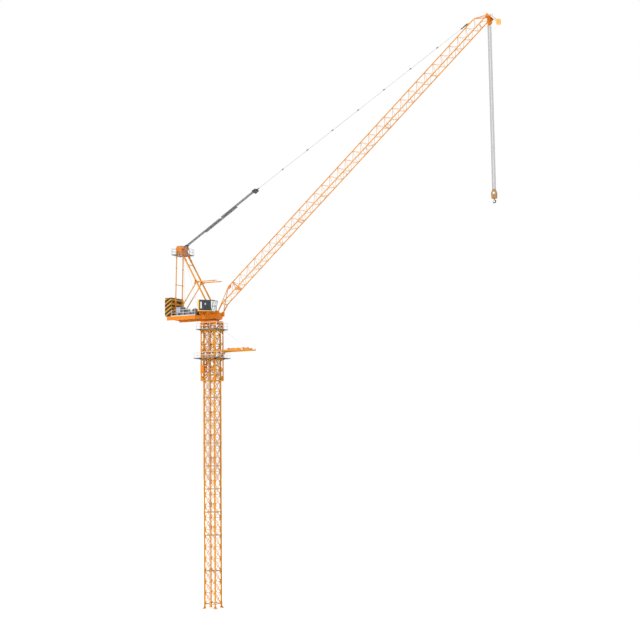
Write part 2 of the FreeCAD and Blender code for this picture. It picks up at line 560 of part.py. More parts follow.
# ----------------------------------------------------------------------------- jib, in its own frame: s along, t up, then set at its angle
ang = D["jib_angle"]
JP = FreeCAD.Placement(V(D["pivot_x"], 0, D["pivot_z"]), FreeCAD.Rotation(V(0, 1, 0), -ang))
jh, jp, jd, cs = D["jib_half"], D["jib_plane"], D["jib_deep"], D["chord_size"]
tt = jp + jd


def jib_node(name, shape, label):
    o = feature(name, shape)
    o.Placement = JP
    return node(o, label)


def J(s, y, t):
    return V(s, y, t)


chords = [Part.makeBox(D["jib_chord_end"] - D["jib_chord_start"], cs, cs, V(D["jib_chord_start"], s * jh - cs / 2, jp - cs / 2)) for s in (-1, 1)]
jib_node("jib_bottom_chords_shape", Part.makeCompound(chords), "jib_bottom_chords")
topc = Part.makeBox(D["jib_top_end"] - D["jib_top_start"], cs, cs, V(D["jib_top_start"], -cs / 2, tt - cs / 2))
lugp = [V(6440, -4, tt + cs / 2 - 1), V(6530, -4, tt + cs / 2 - 1), V(6492, -4, D["link_t"] + 10), V(6466, -4, D["link_t"] + 10), V(6440, -4, tt + cs / 2 - 1)]
lug = Part.Face(Part.makePolygon(lugp)).extrude(V(0, 8, 0))
lug = lug.cut(Part.makeCylinder(4.08, 20, V(D["link_s"], -10, D["link_t"]), V(0, 1, 0)))
top_solid = merge([topc, lug])
jib_node("jib_top_chord_shape", solid_of(top_solid), "jib_top_chord")

foot = []
for s in (-1, 1):
    foot.append(Part.makeCylinder(D["eye_radius"], D["eye_wide"], V(0, s * D["pivot_half"] - D["eye_wide"] / 2, 0), V(0, 1, 0)))
    foot.append(bar(J(0, s * D["pivot_half"], 0), J(158, s * jh, jp), 16, V(0, 1, 0), 14))
    foot.append(bar(J(0, s * D["pivot_half"], 0), J(404, 0, tt - 2), 10, V(0, 1, 0)))
foot.append(bar(J(150, -jh, jp), J(150, jh, jp), 12))
foot.append(bar(J(200, -48, 112), J(200, 48, 112), 9))
foot_shape = merge(foot)
for s in (-1, 1):
    foot_shape = foot_shape.cut(Part.makeCylinder(D["pin_radius"] + D["pin_play"], 40, V(0, s * D["pivot_half"] - 20, 0), V(0, 1, 0)))
    # clearance inside the pivot lugs
    for q in (-1, 1):
        foot_shape = foot_shape.cut(Part.makeCylinder(34, 30, V(0, s * D["pivot_half"] + (D["eye_wide"] / 2 if q > 0 else -D["eye_wide"] / 2 - 30), 0), V(0, 1, 0)))
for c_ in chords + [topc]:
    foot_shape = foot_shape.cut(c_)
foot_solid = max(foot_shape.Solids, key=lambda q: q.Volume)
jib_node("jib_foot_shape", foot_solid, "jib_foot")


def lacing(a, b, s0, s1, w, cut_with, extra=()):
    """Zigzag lacing between two chord lines a and b, given as (y, t), from s0 to s1."""
    n = int(round((s1 - s0) / (D["jib_pitch"] / 2.0)))
    step = (s1 - s0) / n
    nv = V(0, b[0] - a[0], b[1] - a[1])
    up = V(1, 0, 0).cross(nv)
    nvn = V(nv)
    nvn.normalize()
    off = cs / 2 + 1.0
    pa = V(0, a[0], a[1]) + nvn * off
    pb = V(0, b[0], b[1]) - nvn * off
    bars = []
    for i in range(n):
        p = (pa if i % 2 == 0 else pb) + V(s0 + i * step, 0, 0)
        q = (pb if i % 2 == 0 else pa) + V(s0 + (i + 1) * step, 0, 0)
        bars.append(bar(p, q, w, up))
    for sx, ww in extra:
        bars.append(bar(pa + V(sx, 0, 0), pb + V(sx, 0, 0), ww, up, w))
    out = merge(bars)
    for c_ in cut_with:
        out = out.cut(c_)
    return out


ends = 6760
lb = lacing((-jh, jp), (jh, jp), 178, ends, D["jib_lace"], chords, [(2160, 16), (4368, 16), (6610, 16)] + [(560 + 552 * i, 9) for i in range(11)])
jib_node("jib_lacing_bottom_shape", max(lb.Solids, key=lambda q: q.Volume), "jib_lacing_bottom")
for label, s in (("jib_lacing_near", -1), ("jib_lacing_far", 1)):
    ls = lacing((s * jh, jp), (0, tt), 433, 6620, D["jib_lace"], chords + [topc], [(530, 13)])
    ls = max(ls.Solids, key=lambda q: q.Volume)
    ls = ls.cut(foot_solid)
    if s > 0:
        ls = ls.cut(near_lace)
    ls = max(ls.Solids, key=lambda q: q.Volume)
    if s < 0:
        near_lace = ls
    ls = ls.cut(lb)
    ls = max(ls.Solids, key=lambda q: q.Volume)
    jib_node(label + "_shape", ls, label)

ss_, st_ = D["tip_sheave_s"], D["tip_sheave_t"]
crossb = Part.makeBox(34, 2 * jh + cs, 56, V(D["jib_chord_end"], -jh - cs / 2, jp - 30))
plates = []
for s in (-1, 1):
    pts = [(6700, -62), (6770, -66), (6831, 10), (6831, 75), (6797, 75), (6720, 2)]
    w_ = Part.makePolygon([V(a_, s * 14 - 3, b_) for a_, b_ in pts + pts[:1]])
    plates.append(Part.Face(w_).extrude(V(0, 6, 0)))
pinh = Part.makeCylinder(5, 34, V(ss_, -17, st_), V(0, 1, 0))
top_tie = [bar(J(6622, 0, tt), J(6800, s * 60, 74), 11, V(0, 1, 0)) for s in (-1, 1)]
tie_w = Part.makeBox(34, 120, 12, V(D["jib_chord_end"], -60, 66))
head_j = merge([crossb, tie_w] + plates + [pinh] + top_tie)
for c_ in [topc, lug] + chords:
    head_j = head_j.cut(c_)
lb_main = max(lb.Solids, key=lambda q: q.Volume)
head_j = head_j.cut(lb_main)
head_j = max(head_j.Solids, key=lambda q: q.Volume)
jib_node("jib_head_shape", head_j, "jib_head")
shv = Part.makeCylinder(D["tip_sheave_radius"], D["tip_sheave_wide"], V(ss_, -D["tip_sheave_wide"] / 2, st_), V(0, 1, 0))
shv = shv.cut(Part.makeTorus(D["tip_sheave_radius"] + 1.5, 3.2, V(ss_, 0, st_), V(0, 1, 0))).cut(pinh)
jib_node("jib_head_sheave_shape", shv.Solids[0], "jib_head_sheave")

hr = []
for s in (-1, 1):
    low, top_p, end_p = V(6606, s * 4, tt + 4), V(6784, s * 30, tt + 8), V(6812, s * 46, 76)
    hr.append(rod(low, top_p, 3.2))
    hr.append(rod(top_p, end_p, 3.2))
    hr.append(rod(V(6640, s * 9, tt + 2), V(6806, s * 38, 150), 2.4))
hr.append(rod(V(6784, -31, tt + 8), V(6784, 31, tt + 8), 3.2))
handrail = merge(hr)
for c_ in [topc, lug, head_j]:
    handrail = handrail.cut(c_)
jib_node("tip_handrail_shape", max(handrail.Solids, key=lambda q: q.Volume), "tip_handrail")

# tip box on its bracket, level when the jib stands at its drawn angle
tipw = FreeCAD.Placement(JP)
hb = V(6831, 0, 45)
hw_ = tipw.multVec(hb)
tb = Part.makeBox(62, 60, 78, V(5372, -30, 9556))
inv = tipw.inverse()
br = merge([tb, bar(V(hw_.x - 6, 0, hw_.z - 2), V(5376, 0, 9606), 12, V(0, 1, 0), 30)])
br.transformShape(inv.toMatrix())
br = br.cut(head_j)
br = max(br.Solids, key=lambda q: q.Volume)
jib_node("jib_tip_box_shape", br, "jib_tip_box")

# ----------------------------------------------------------------------------- luffing line
E = JP.multVec(V(D["link_s"], 0, D["link_t"]))
Hh = V(D["head_pin_x"], 0, D["head_pin_z"])
# the line runs from the head pin to the floating block, then to the lug on the jib
B0 = V(945, 0, 7292)  # joint between floating block and pendants
d1 = B0 - Hh
L1 = d1.Length
u1 = V(d1)
u1.normalize()
n1 = V(-u1.z, 0, u1.x)


def along(dist, y=0.0, n=0.0):
    return Hh + u1 * dist + n1 * n + V(0, y, 0)


rr = D["rope_radius"]
blk0, blk1 = L1 - 96, L1
ropes1 = [rod(along(-20, y, n), along(860, y, n), rr) for y in (-33, -11, 11, 33) for n in (5.5, 12.5)]
ropes2 = [rod(along(480, y, n), along(1240, y, n), rr) for y in (-33, -11, 11, 33) for n in (-5.5, -12.5)]
ropes3 = [rod(along(900, y, n), along(blk0 + 2, y, n), rr) for y in (-44, -22, 0, 22) for n in (5.5, 12.5)]
node(feature("luffing_ropes_upper_shape", Part.makeCompound(ropes1)), "luffing_ropes_upper")
node(feature("luffing_ropes_middle_shape", Part.makeCompound(ropes2)), "luffing_ropes_middle")
blk = merge([bar(along(blk0, 0, 0), along(blk1 - 30, 0, 0), 100, n1, 46), bar(along(blk1 - 32, 0, 0), along(blk1 - 8, 0, 0), 30, n1, 26)])
blk = blk.cut(Part.makeCylinder(0.1, 1, V(0, 0, 0)))
node(feature("floating_block_shape", blk.Solids[0]), "floating_block")
ropes3 = [r_.cut(blk).Solids[0] for r_ in ropes3]
node(feature("luffing_ropes_lower_shape", Part.makeCompound(ropes3)), "luffing_ropes_lower")
d2 = E - B0
L2 = d2.Length
u2 = V(d2)
u2.normalize()
pr = D["pendant_radius"]
pend = [rod(B0 + u2 * 6, E - u2 * 30, pr)]
nlinks = 8
for i in range(nlinks + 1):
    c0 = B0 + u2 * (14 + i * (L2 - 60) / nlinks)
    pend.append(bar(c0 - u2 * 14, c0 + u2 * 14, 14, V(-u2.z, 0, u2.x)))
for s in (-1, 1):
    pend.append(bar(E + V(0, s * 8, 0) - u2 * 48, E + V(0, s * 8, 0) + u2 * 9, 6, V(-u2.z, 0, u2.x), 16))
pend.append(bar(E - u2 * 50, E - u2 * 34, 22, V(-u2.z, 0, u2.x), 14))
pend.append(Part.makeCylinder(4, 22, E - V(0, 11, 0), V(0, 1, 0)))
node(feature("pendant_bars_shape", solid_of(merge(pend))), "pendant_bars")

# ----------------------------------------------------------------------------- hoist ropes, block and hook
C = JP.multVec(V(ss_, 0, st_))
hb_top = D["hook_block_top"]
fh = D["fall_half"]
falls = [rod(V(C.x + s * fh, 0, hb_top - 40), V(C.x + s * fh, 0, C.z), rr) for s in (-1, 1)]
falls += [rod(V(C.x + dx, dy, hb_top - 2), V(C.x + dx, dy, C.z - 50), rr) for dx, dy in ((-16, -9), (-5.5, -9), (5.5, 9), (16, 9))]
node(feature("hoist_ropes_shape", Part.makeCompound(falls)), "hoist_ropes")
cheek = [V(-40, 0, -150), V(-46, 0, -60), V(-20, 0, 0), V(20, 0, 0), V(46, 0, -60), V(40, 0, -150)]
hbk = []
for s in (-1, 1):
    w_ = Part.makePolygon([V(C.x + p.x, s * 17 - 4, hb_top + p.z) for p in cheek + cheek[:1]])
    hbk.append(Part.Face(w_).extrude(V(0, 8, 0)))
hbk.append(Part.makeBox(70, 26, 18, V(C.x - 35, -13, hb_top - 146)))
hbk.append(Part.makeBox(20, 26, 12, V(C.x - 10, -13, hb_top - 14)))
hbk.append(Part.makeCylinder(6, 40, V(C.x, -20, hb_top - 60), V(0, 1, 0)))
hbk.append(Part.makeCylinder(24, 12, V(C.x, -6, hb_top - 60), V(0, 1, 0)))
block_shape = merge(hbk)
for f_ in falls:
    block_shape = block_shape.cut(f_)
stem_hole = Part.makeCylinder(6.08, 60, V(C.x, 0, hb_top - 170), V(0, 0, 1))
block_shape = block_shape.cut(stem_hole)
node(feature("hook_block_shape", max(block_shape.Solids, key=lambda q: q.Volume)), "hook_block")
# hook: stem with its nut, and a bill made from three quarters of a ring with a tapered tip
zb = hb_top - 150
stem = Part.makeCylinder(6, 48, V(C.x, 0, zb - 24), V(0, 0, 1))
nut = Part.makeCylinder(10, 6, V(C.x, 0, zb + 24), V(0, 0, 1))
rad = 22.0
cc = V(C.x, 0, zb - 46)
ring = Part.Face(Part.Wire([Part.Circle(cc + V(0, 0, rad), V(1, 0, 0), 7).toShape()]))
bill = ring.revolve(cc, V(0, 1, 0), 270)
tip = Part.makeCone(7, 2.5, 14, cc + V(-rad, 0, 0), V(0, 0, 1))
hook = stem.multiFuse([nut, bill, tip])
node(feature("load_hook_shape", max(hook.Solids, key=lambda q: q.Volume)), "load_hook")

# ----------------------------------------------------------------------------- checks and export
doc.recompute()
for o in doc.Objects:
    bad = [s for s in o.State if s in ("Invalid", "Error")]
    if bad:
        raise RuntimeError("object failed: %s %s" % (o.Name, bad))
os.makedirs("parts", exist_ok=True)
seen = set()
for o in NODES:
    sh = o.Shape
    if sh.isNull() or not sh.isValid() or not sh.Solids:
        raise RuntimeError("bad shape: %s" % o.Label)
    if o.Label in seen:
        raise RuntimeError("name used twice: %s" % o.Label)
    seen.add(o.Label)
for o in NODES:
    o.Shape.exportStep("parts/%s.step" % o.Label)
print("nodes", len(NODES))
for o in NODES:
    b = o.Shape.BoundBox
    print("%-24s solids %3d  x %8.1f %8.1f  y %7.1f %7.1f  z %8.1f %8.1f  vol %.0f cm3" % (o.Label, len(o.Shape.Solids), b.XMin, b.XMax, b.YMin, b.YMax, b.ZMin, b.ZMax, o.Shape.Volume / 1000.0))
print("luffing line", "head", tuple(round(v, 2) for v in Hh), "block joint", tuple(round(v, 2) for v in B0), "lug", tuple(round(v, 2) for v in E), "u1", tuple(round(v, 5) for v in u1), "L1", round(L1, 1), "L2", round(L2, 1))
print("tip sheave", tuple(round(v, 2) for v in C))
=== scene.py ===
import bpy
import json
import math
import random
from mathutils import Vector, Matrix


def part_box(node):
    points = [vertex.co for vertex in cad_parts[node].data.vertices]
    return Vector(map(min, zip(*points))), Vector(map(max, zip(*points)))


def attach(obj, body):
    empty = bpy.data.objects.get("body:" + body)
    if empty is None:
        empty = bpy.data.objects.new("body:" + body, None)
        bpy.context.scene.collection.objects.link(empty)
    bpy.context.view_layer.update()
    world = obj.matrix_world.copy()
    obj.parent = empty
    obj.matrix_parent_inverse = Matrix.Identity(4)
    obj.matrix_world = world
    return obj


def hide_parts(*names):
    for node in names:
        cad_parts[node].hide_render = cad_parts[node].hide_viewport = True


# Luffing-jib tower crane, 1:10 model. Helper coordinates are millimetres of the model, meshes are made in metres.

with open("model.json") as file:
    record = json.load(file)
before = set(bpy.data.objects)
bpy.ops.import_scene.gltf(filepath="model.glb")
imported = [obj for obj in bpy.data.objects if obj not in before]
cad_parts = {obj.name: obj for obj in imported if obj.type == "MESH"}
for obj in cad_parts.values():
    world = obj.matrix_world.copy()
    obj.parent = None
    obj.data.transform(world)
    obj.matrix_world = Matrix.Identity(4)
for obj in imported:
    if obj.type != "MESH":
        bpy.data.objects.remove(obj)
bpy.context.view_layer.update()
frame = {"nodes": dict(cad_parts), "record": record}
rnd = random.Random(461)

V = Vector
PIVOT = V((180.0, 0.0, 5155.0))
ANGLE = math.radians(41.53)
JS = V((math.cos(ANGLE), 0.0, math.sin(ANGLE)))
JT = V((-math.sin(ANGLE), 0.0, math.cos(ANGLE)))


def jib_point(s, y, t):
    return PIVOT + JS * s + JT * t + V((0, y, 0))


# ----------------------------------------------------------------------------- materials
def new_material(name):
    m = bpy.data.materials.new(name)
    m.use_nodes = True
    nt = m.node_tree
    nt.nodes.clear()
    out = nt.nodes.new("ShaderNodeOutputMaterial")
    bsdf = nt.nodes.new("ShaderNodeBsdfPrincipled")
    nt.links.new(bsdf.outputs[0], out.inputs[0])
    tc = nt.nodes.new("ShaderNodeTexCoord")
    return m, nt, bsdf, tc


def rgba(c):
    return (c[0], c[1], c[2], 1.0)


def noise(nt, tc, scale, detail=3.0, rough=0.55, stretch=None):
    n = nt.nodes.new("ShaderNodeTexNoise")
    n.inputs["Scale"].default_value = scale
    n.inputs["Detail"].default_value = detail
    n.inputs["Roughness"].default_value = rough
    if stretch:
        mp = nt.nodes.new("ShaderNodeMapping")
        mp.inputs["Scale"].default_value = stretch
        nt.links.new(tc.outputs["Object"], mp.inputs["Vector"])
        nt.links.new(mp.outputs[0], n.inputs["Vector"])
    else:
        nt.links.new(tc.outputs["Object"], n.inputs["Vector"])
    return n.outputs[0]


def ramp(nt, value, lo, hi, a=0.0, b=1.0):
    r = nt.nodes.new("ShaderNodeMapRange")
    r.clamp = True
    nt.links.new(value, r.inputs["Value"])
    r.inputs["From Min"].default_value = lo
    r.inputs["From Max"].default_value = hi
    r.inputs["To Min"].default_value = a
    r.inputs["To Max"].default_value = b
    return r.outputs[0]


def math_node(nt, op, a, b=None, c=None):
    n = nt.nodes.new("ShaderNodeMath")
    n.operation = op
    for i, x in enumerate((a, b, c)):
        if x is None:
            continue
        if isinstance(x, (int, float)):
            n.inputs[i].default_value = x
        else:
            nt.links.new(x, n.inputs[i])
    return n.outputs[0]


def blend_colour(nt, fac, a, b, mode="MIX"):
    n = nt.nodes.new("ShaderNodeMix")
    n.data_type = "RGBA"
    n.blend_type = mode
    if isinstance(fac, (int, float)):
        n.inputs[0].default_value = fac
    else:
        nt.links.new(fac, n.inputs[0])
    for idx, x in ((6, a), (7, b)):
        if isinstance(x, tuple):
            n.inputs[idx].default_value = rgba(x)
        else:
            nt.links.new(x, n.inputs[idx])
    return n.outputs[2]


def add_bump(nt, bsdf, height, strength, distance):
    b = nt.nodes.new("ShaderNodeBump")
    b.inputs["Strength"].default_value = strength
    b.inputs["Distance"].default_value = distance
    nt.links.new(height, b.inputs["Height"])
    nt.links.new(b.outputs[0], bsdf.inputs["Normal"])


def coated(name, base, second, grime=(0.10, 0.06, 0.03), grime_amount=0.35, chip=(0.16, 0.10, 0.07), chip_level=0.70,
           rough=(0.30, 0.52), metallic=0.0, coat=0.2, size=1.0, peel=0.08):
    """Painted or plated steel: two tones, rain streaks down the height, small chips and an uneven gloss."""
    m, nt, bsdf, tc = new_material(name)
    broad = noise(nt, tc, 2.6 / size, 4.0)
    streak = noise(nt, tc, 1.0, 5.0, 0.6, (46.0 / size, 46.0 / size, 3.2 / size))
    fine = noise(nt, tc, 150.0 / size, 4.0, 0.65)
    col = blend_colour(nt, ramp(nt, broad, 0.35, 0.66), base, second)
    dirty = math_node(nt, "MULTIPLY", ramp(nt, streak, 0.52, 0.80), grime_amount)
    col = blend_colour(nt, dirty, col, grime)
    chips = math_node(nt, "MULTIPLY", ramp(nt, fine, chip_level, chip_level + 0.03), 0.75)
    col = blend_colour(nt, chips, col, chip)
    nt.links.new(col, bsdf.inputs["Base Color"])
    r = math_node(nt, "ADD", ramp(nt, streak, 0.3, 0.8, rough[0], rough[1]), math_node(nt, "MULTIPLY", chips, 0.25))
    nt.links.new(r, bsdf.inputs["Roughness"])
    bsdf.inputs["Metallic"].default_value = metallic
    bsdf.inputs["Specular IOR Level"].default_value = 0.22 if "orange" in name or "red" in name or "slate" in name else 0.45
    bsdf.inputs["Coat Weight"].default_value = coat
    bsdf.inputs["Coat Roughness"].default_value = 0.18
    peel_n = noise(nt, tc, 420.0 / size, 2.0)
    add_bump(nt, bsdf, math_node(nt, "SUBTRACT", peel_n, chips), peel, 0.0012)
    return m


def fract_mask(nt, value, period, width, soft=0.08):
    """1 inside a band of the given share of each period, with soft edges."""
    f = math_node(nt, "FRACT", math_node(nt, "DIVIDE", value, period))
    tri = math_node(nt, "ABSOLUTE", math_node(nt, "SUBTRACT", f, 0.5))
    return ramp(nt, tri, width / 2.0 - soft / 2.0, width / 2.0 + soft / 2.0, 1.0, 0.0)


def split(nt, vec):
    s = nt.nodes.new("ShaderNodeSeparateXYZ")
    nt.links.new(vec, s.inputs[0])
    return s.outputs[0], s.outputs[1], s.outputs[2]


def grating(name, light, dark, pitch=0.0085):
    """Pressed and welded open-bar flooring: bearing bars one way, twisted cross bars the other, the gaps between them
    painted near black as the shade seen through the openings.
    """
    m, nt, bsdf, tc = new_material(name)
    x, y, z = split(nt, tc.outputs["Object"])
    nx, ny, nz = split(nt, tc.outputs["Normal"])
    flat = ramp(nt, math_node(nt, "ABSOLUTE", nz), 0.6, 0.8)
    bars = fract_mask(nt, y, pitch, 0.42)
    cross = fract_mask(nt, x, pitch * 2.6, 0.20)
    grid = math_node(nt, "MULTIPLY", math_node(nt, "MAXIMUM", bars, cross), flat)
    solid = math_node(nt, "MAXIMUM", grid, math_node(nt, "SUBTRACT", 1.0, flat))
    broad = noise(nt, tc, 9.0, 4.0)
    tone = blend_colour(nt, ramp(nt, broad, 0.35, 0.7), light, tuple(c * 0.72 for c in light))
    # painted shade: on the top faces the gaps between the bars take the near-black colour
    col = blend_colour(nt, solid, dark, tone)
    nt.links.new(col, bsdf.inputs["Base Color"])
    nt.links.new(ramp(nt, noise(nt, tc, 60.0, 3.0), 0.3, 0.7, 0.42, 0.72), bsdf.inputs["Roughness"])
    bsdf.inputs["Metallic"].default_value = 0.35
    add_bump(nt, bsdf, solid, 0.6, 0.0012)
    return m


def hazard(name, yellow, black):
    """Counterweight paint: slanting bands on the side faces, level bands on the broad faces, both from the piece's own place."""
    m, nt, bsdf, tc = new_material(name)
    x, y, z = split(nt, tc.outputs["Object"])
    nx, ny, nz = split(nt, tc.outputs["Normal"])
    side = ramp(nt, math_node(nt, "ABSOLUTE", ny), 0.5, 0.6)
    wobble = math_node(nt, "MULTIPLY", math_node(nt, "SUBTRACT", noise(nt, tc, 120.0, 2.0), 0.5), 0.006)
    lean = math_node(nt, "MULTIPLY", math_node(nt, "MULTIPLY", math_node(nt, "ADD", x, 0.721), 0.66), side)
    u = math_node(nt, "ADD", math_node(nt, "SUBTRACT", z, lean), wobble)
    band = fract_mask(nt, math_node(nt, "ADD", u, -0.018), 0.0730, 0.60, 0.05)
    broad = noise(nt, tc, 5.0, 5.0)
    yel = blend_colour(nt, ramp(nt, broad, 0.35, 0.68), yellow, tuple(c * 0.78 for c in yellow))
    blk = blend_colour(nt, ramp(nt, broad, 0.3, 0.7), black, (0.045, 0.032, 0.022))
    col = blend_colour(nt, band, yel, blk)
    streak = noise(nt, tc, 1.0, 5.0, 0.6, (60.0, 60.0, 5.0))
    col = blend_colour(nt, math_node(nt, "MULTIPLY", ramp(nt, streak, 0.5, 0.8), 0.3), col, (0.12, 0.09, 0.06))
    pits = ramp(nt, noise(nt, tc, 230.0, 3.0), 0.66, 0.74)
    col = blend_colour(nt, math_node(nt, "MULTIPLY", pits, 0.5), col, (0.25, 0.23, 0.20))
    nt.links.new(col, bsdf.inputs["Base Color"])
    nt.links.new(ramp(nt, streak, 0.3, 0.8, 0.55, 0.8), bsdf.inputs["Roughness"])
    bsdf.inputs["Specular IOR Level"].default_value = 0.2
    add_bump(nt, bsdf, math_node(nt, "SUBTRACT", noise(nt, tc, 160.0, 4.0), pits), 0.35, 0.002)
    return m


def rope_material(name, light, dark, pitch=0.004):
    """Twisted strands: slanting bands over the rope, a little grease in the valleys."""
    m, nt, bsdf, tc = new_material(name)
    x, y, z = split(nt, tc.outputs["Object"])
    run = math_node(nt, "ADD", math_node(nt, "ADD", x, z), math_node(nt, "MULTIPLY", y, 0.8))
    strand = fract_mask(nt, run, pitch, 0.6, 0.35)
    oil = ramp(nt, noise(nt, tc, 25.0, 4.0), 0.35, 0.7)
    tone = blend_colour(nt, oil, light, tuple(c * 0.6 for c in light))
    nt.links.new(blend_colour(nt, strand, dark, tone), bsdf.inputs["Base Color"])
    nt.links.new(ramp(nt, strand, 0.0, 1.0, 0.62, 0.4), bsdf.inputs["Roughness"])
    bsdf.inputs["Metallic"].default_value = 0.1
    add_bump(nt, bsdf, strand, 0.25, 0.0005)
    return m


def drum_material(name, base, groove):
    """Grooved, rope-polished steel."""
    m, nt, bsdf, tc = new_material(name)
    x, y, z = split(nt, tc.outputs["Object"])
    g = fract_mask(nt, y, 0.0046, 0.55, 0.3)
    broad = noise(nt, tc, 14.0, 4.0)
    tone = blend_colour(nt, ramp(nt, broad, 0.35, 0.7), base, tuple(c * 0.7 for c in base))
    nt.links.new(blend_colour(nt, g, groove, tone), bsdf.inputs["Base Color"])
    nt.links.new(ramp(nt, broad, 0.3, 0.7, 0.35, 0.6), bsdf.inputs["Roughness"])
    bsdf.inputs["Metallic"].default_value = 0.7
    add_bump(nt, bsdf, g, 0.4, 0.001)
    return m


def glazing(name, tint):
    """Cab glass with a faint dust film in patches."""
    m, nt, bsdf, tc = new_material(name)
    film = noise(nt, tc, 22.0, 5.0, 0.6)
    nt.links.new(blend_colour(nt, ramp(nt, film, 0.4, 0.75), tint, tuple(min(1.0, c * 0.86 + 0.08) for c in tint)), bsdf.inputs["Base Color"])
    nt.links.new(ramp(nt, film, 0.35, 0.8, 0.04, 0.09), bsdf.inputs["Roughness"])
    bsdf.inputs["Transmission Weight"].default_value = 0.35
    bsdf.inputs["IOR"].default_value = 1.45
    bsdf.inputs["Specular IOR Level"].default_value = 0.8
    return m


def rubber(name, base):
    m, nt, bsdf, tc = new_material(name)
    n = noise(nt, tc, 90.0, 4.0)
    nt.links.new(blend_colour(nt, ramp(nt, n, 0.35, 0.7), base, tuple(c * 1.8 + 0.01 for c in base)), bsdf.inputs["Base Color"])
    nt.links.new(ramp(nt, n, 0.3, 0.7, 0.6, 0.85), bsdf.inputs["Roughness"])
    add_bump(nt, bsdf, noise(nt, tc, 600.0, 2.0), 0.2, 0.0006)
    return m


M = {
    "orange": coated("orange_paint", (0.57, 0.225, 0.002), (0.63, 0.262, 0.004), grime_amount=0.25, coat=0.0),
    "deep": coated("deep_orange_paint", (0.63, 0.180, 0.002), (0.69, 0.212, 0.003), grime_amount=0.14, coat=0.0),
    "amber": coated("amber_paint", (0.72, 0.36, 0.055), (0.80, 0.42, 0.075), grime_amount=0.25),
    "weights": hazard("weight_paint", (0.60, 0.285, 0.030), (0.014, 0.010, 0.007)),
    "galv": coated("galvanised", (0.74, 0.74, 0.74), (0.84, 0.84, 0.83), grime=(0.30, 0.29, 0.27), chip=(0.42, 0.42, 0.42), metallic=0.55, rough=(0.38, 0.6), coat=0.0),
    # the grating's second colour is painted shade for the gaps between its bars
    "grate": grating("grey_grating", (0.36, 0.36, 0.37), (0.06, 0.06, 0.065)),
    "machine": coated("machine_grey", (0.11, 0.105, 0.110), (0.17, 0.165, 0.17), grime=(0.05, 0.04, 0.035), grime_amount=0.5, metallic=0.1, rough=(0.4, 0.65)),
    "motor": coated("motor_blue_grey", (0.30, 0.33, 0.40), (0.40, 0.43, 0.50), grime=(0.12, 0.11, 0.10), metallic=0.1),
    "slate": coated("cab_slate", (0.018, 0.026, 0.032), (0.030, 0.040, 0.046), grime=(0.06, 0.058, 0.055), grime_amount=0.2, chip=(0.08, 0.08, 0.08), rough=(0.3, 0.46), coat=0.15),
    "skid": coated("cab_skid", (0.030, 0.026, 0.024), (0.055, 0.048, 0.042), rough=(0.45, 0.7)),
    "glass": glazing("cab_glass", (0.86, 0.90, 0.92)),
    "red": coated("ram_red", (0.60, 0.020, 0.010), (0.68, 0.034, 0.014), grime_amount=0.12, coat=0.05),
    "rope": rope_material("wire_rope", (0.150, 0.150, 0.153), (0.095, 0.095, 0.097)),
    "pendant": coated("pendant_steel", (0.42, 0.41, 0.40), (0.52, 0.51, 0.49), grime=(0.20, 0.17, 0.14), metallic=0.4),
    "dark": coated("block_dark", (0.020, 0.020, 0.022), (0.045, 0.043, 0.042), rough=(0.4, 0.65), metallic=0.2),
    "brown": coated("block_brown", (0.30, 0.135, 0.035), (0.40, 0.19, 0.05), grime=(0.06, 0.04, 0.03), grime_amount=0.6),
    "black": coated("hook_black", (0.014, 0.013, 0.013), (0.035, 0.032, 0.030), chip=(0.20, 0.19, 0.18), chip_level=0.66, rough=(0.35, 0.6), metallic=0.5),
    "sheave": drum_material("sheave_grey", (0.26, 0.26, 0.27), (0.10, 0.10, 0.10)),
    "white": coated("bare_white_panel", (0.58, 0.58, 0.57), (0.66, 0.66, 0.65), grime=(0.5, 0.48, 0.45), grime_amount=0.2, chip=(0.5, 0.5, 0.5)),
    "rubber": rubber("black_rubber", (0.018, 0.018, 0.018)),
    "zinc": coated("zinc_bolts", (0.50, 0.49, 0.47), (0.62, 0.61, 0.58), grime=(0.22, 0.15, 0.09), grime_amount=0.5, metallic=0.8, rough=(0.3, 0.5), coat=0.0, size=0.4),
}
SLOT = {
    "orange": "orange_paint", "deep": "deep_orange_paint", "amber": "amber_paint", "weights": "weight_paint", "galv": "galvanised",
    "grate": "grey_grating", "machine": "machine_grey", "motor": "machine_grey", "slate": "cab_slate", "skid": "cab_skid", "glass": "cab_glass",
    "red": "ram_red", "rope": "wire_rope", "pendant": "pendant_steel", "dark": "block_dark", "brown": "block_brown", "black": "hook_black",
    "sheave": "sheave_grey", "white": "galvanised", "rubber": "cab_skid", "zinc": "galvanised",
}
for sub in frame["record"]["subparts"]:
    key = [k for k, s in SLOT.items() if s == sub["material_slot"]][0]
    node = frame["nodes"][sub["node"]]
    node.data.materials.clear()
    node.data.materials.append(M[key])
    if sub["node"] in ("deck_frame", "aframe_head", "aframe_sheaves", "cab_base"):
        node.data.materials[0] = M["deep"]
    if sub["node"] == "winch_motors":
        node.data.materials[0] = M["motor"]


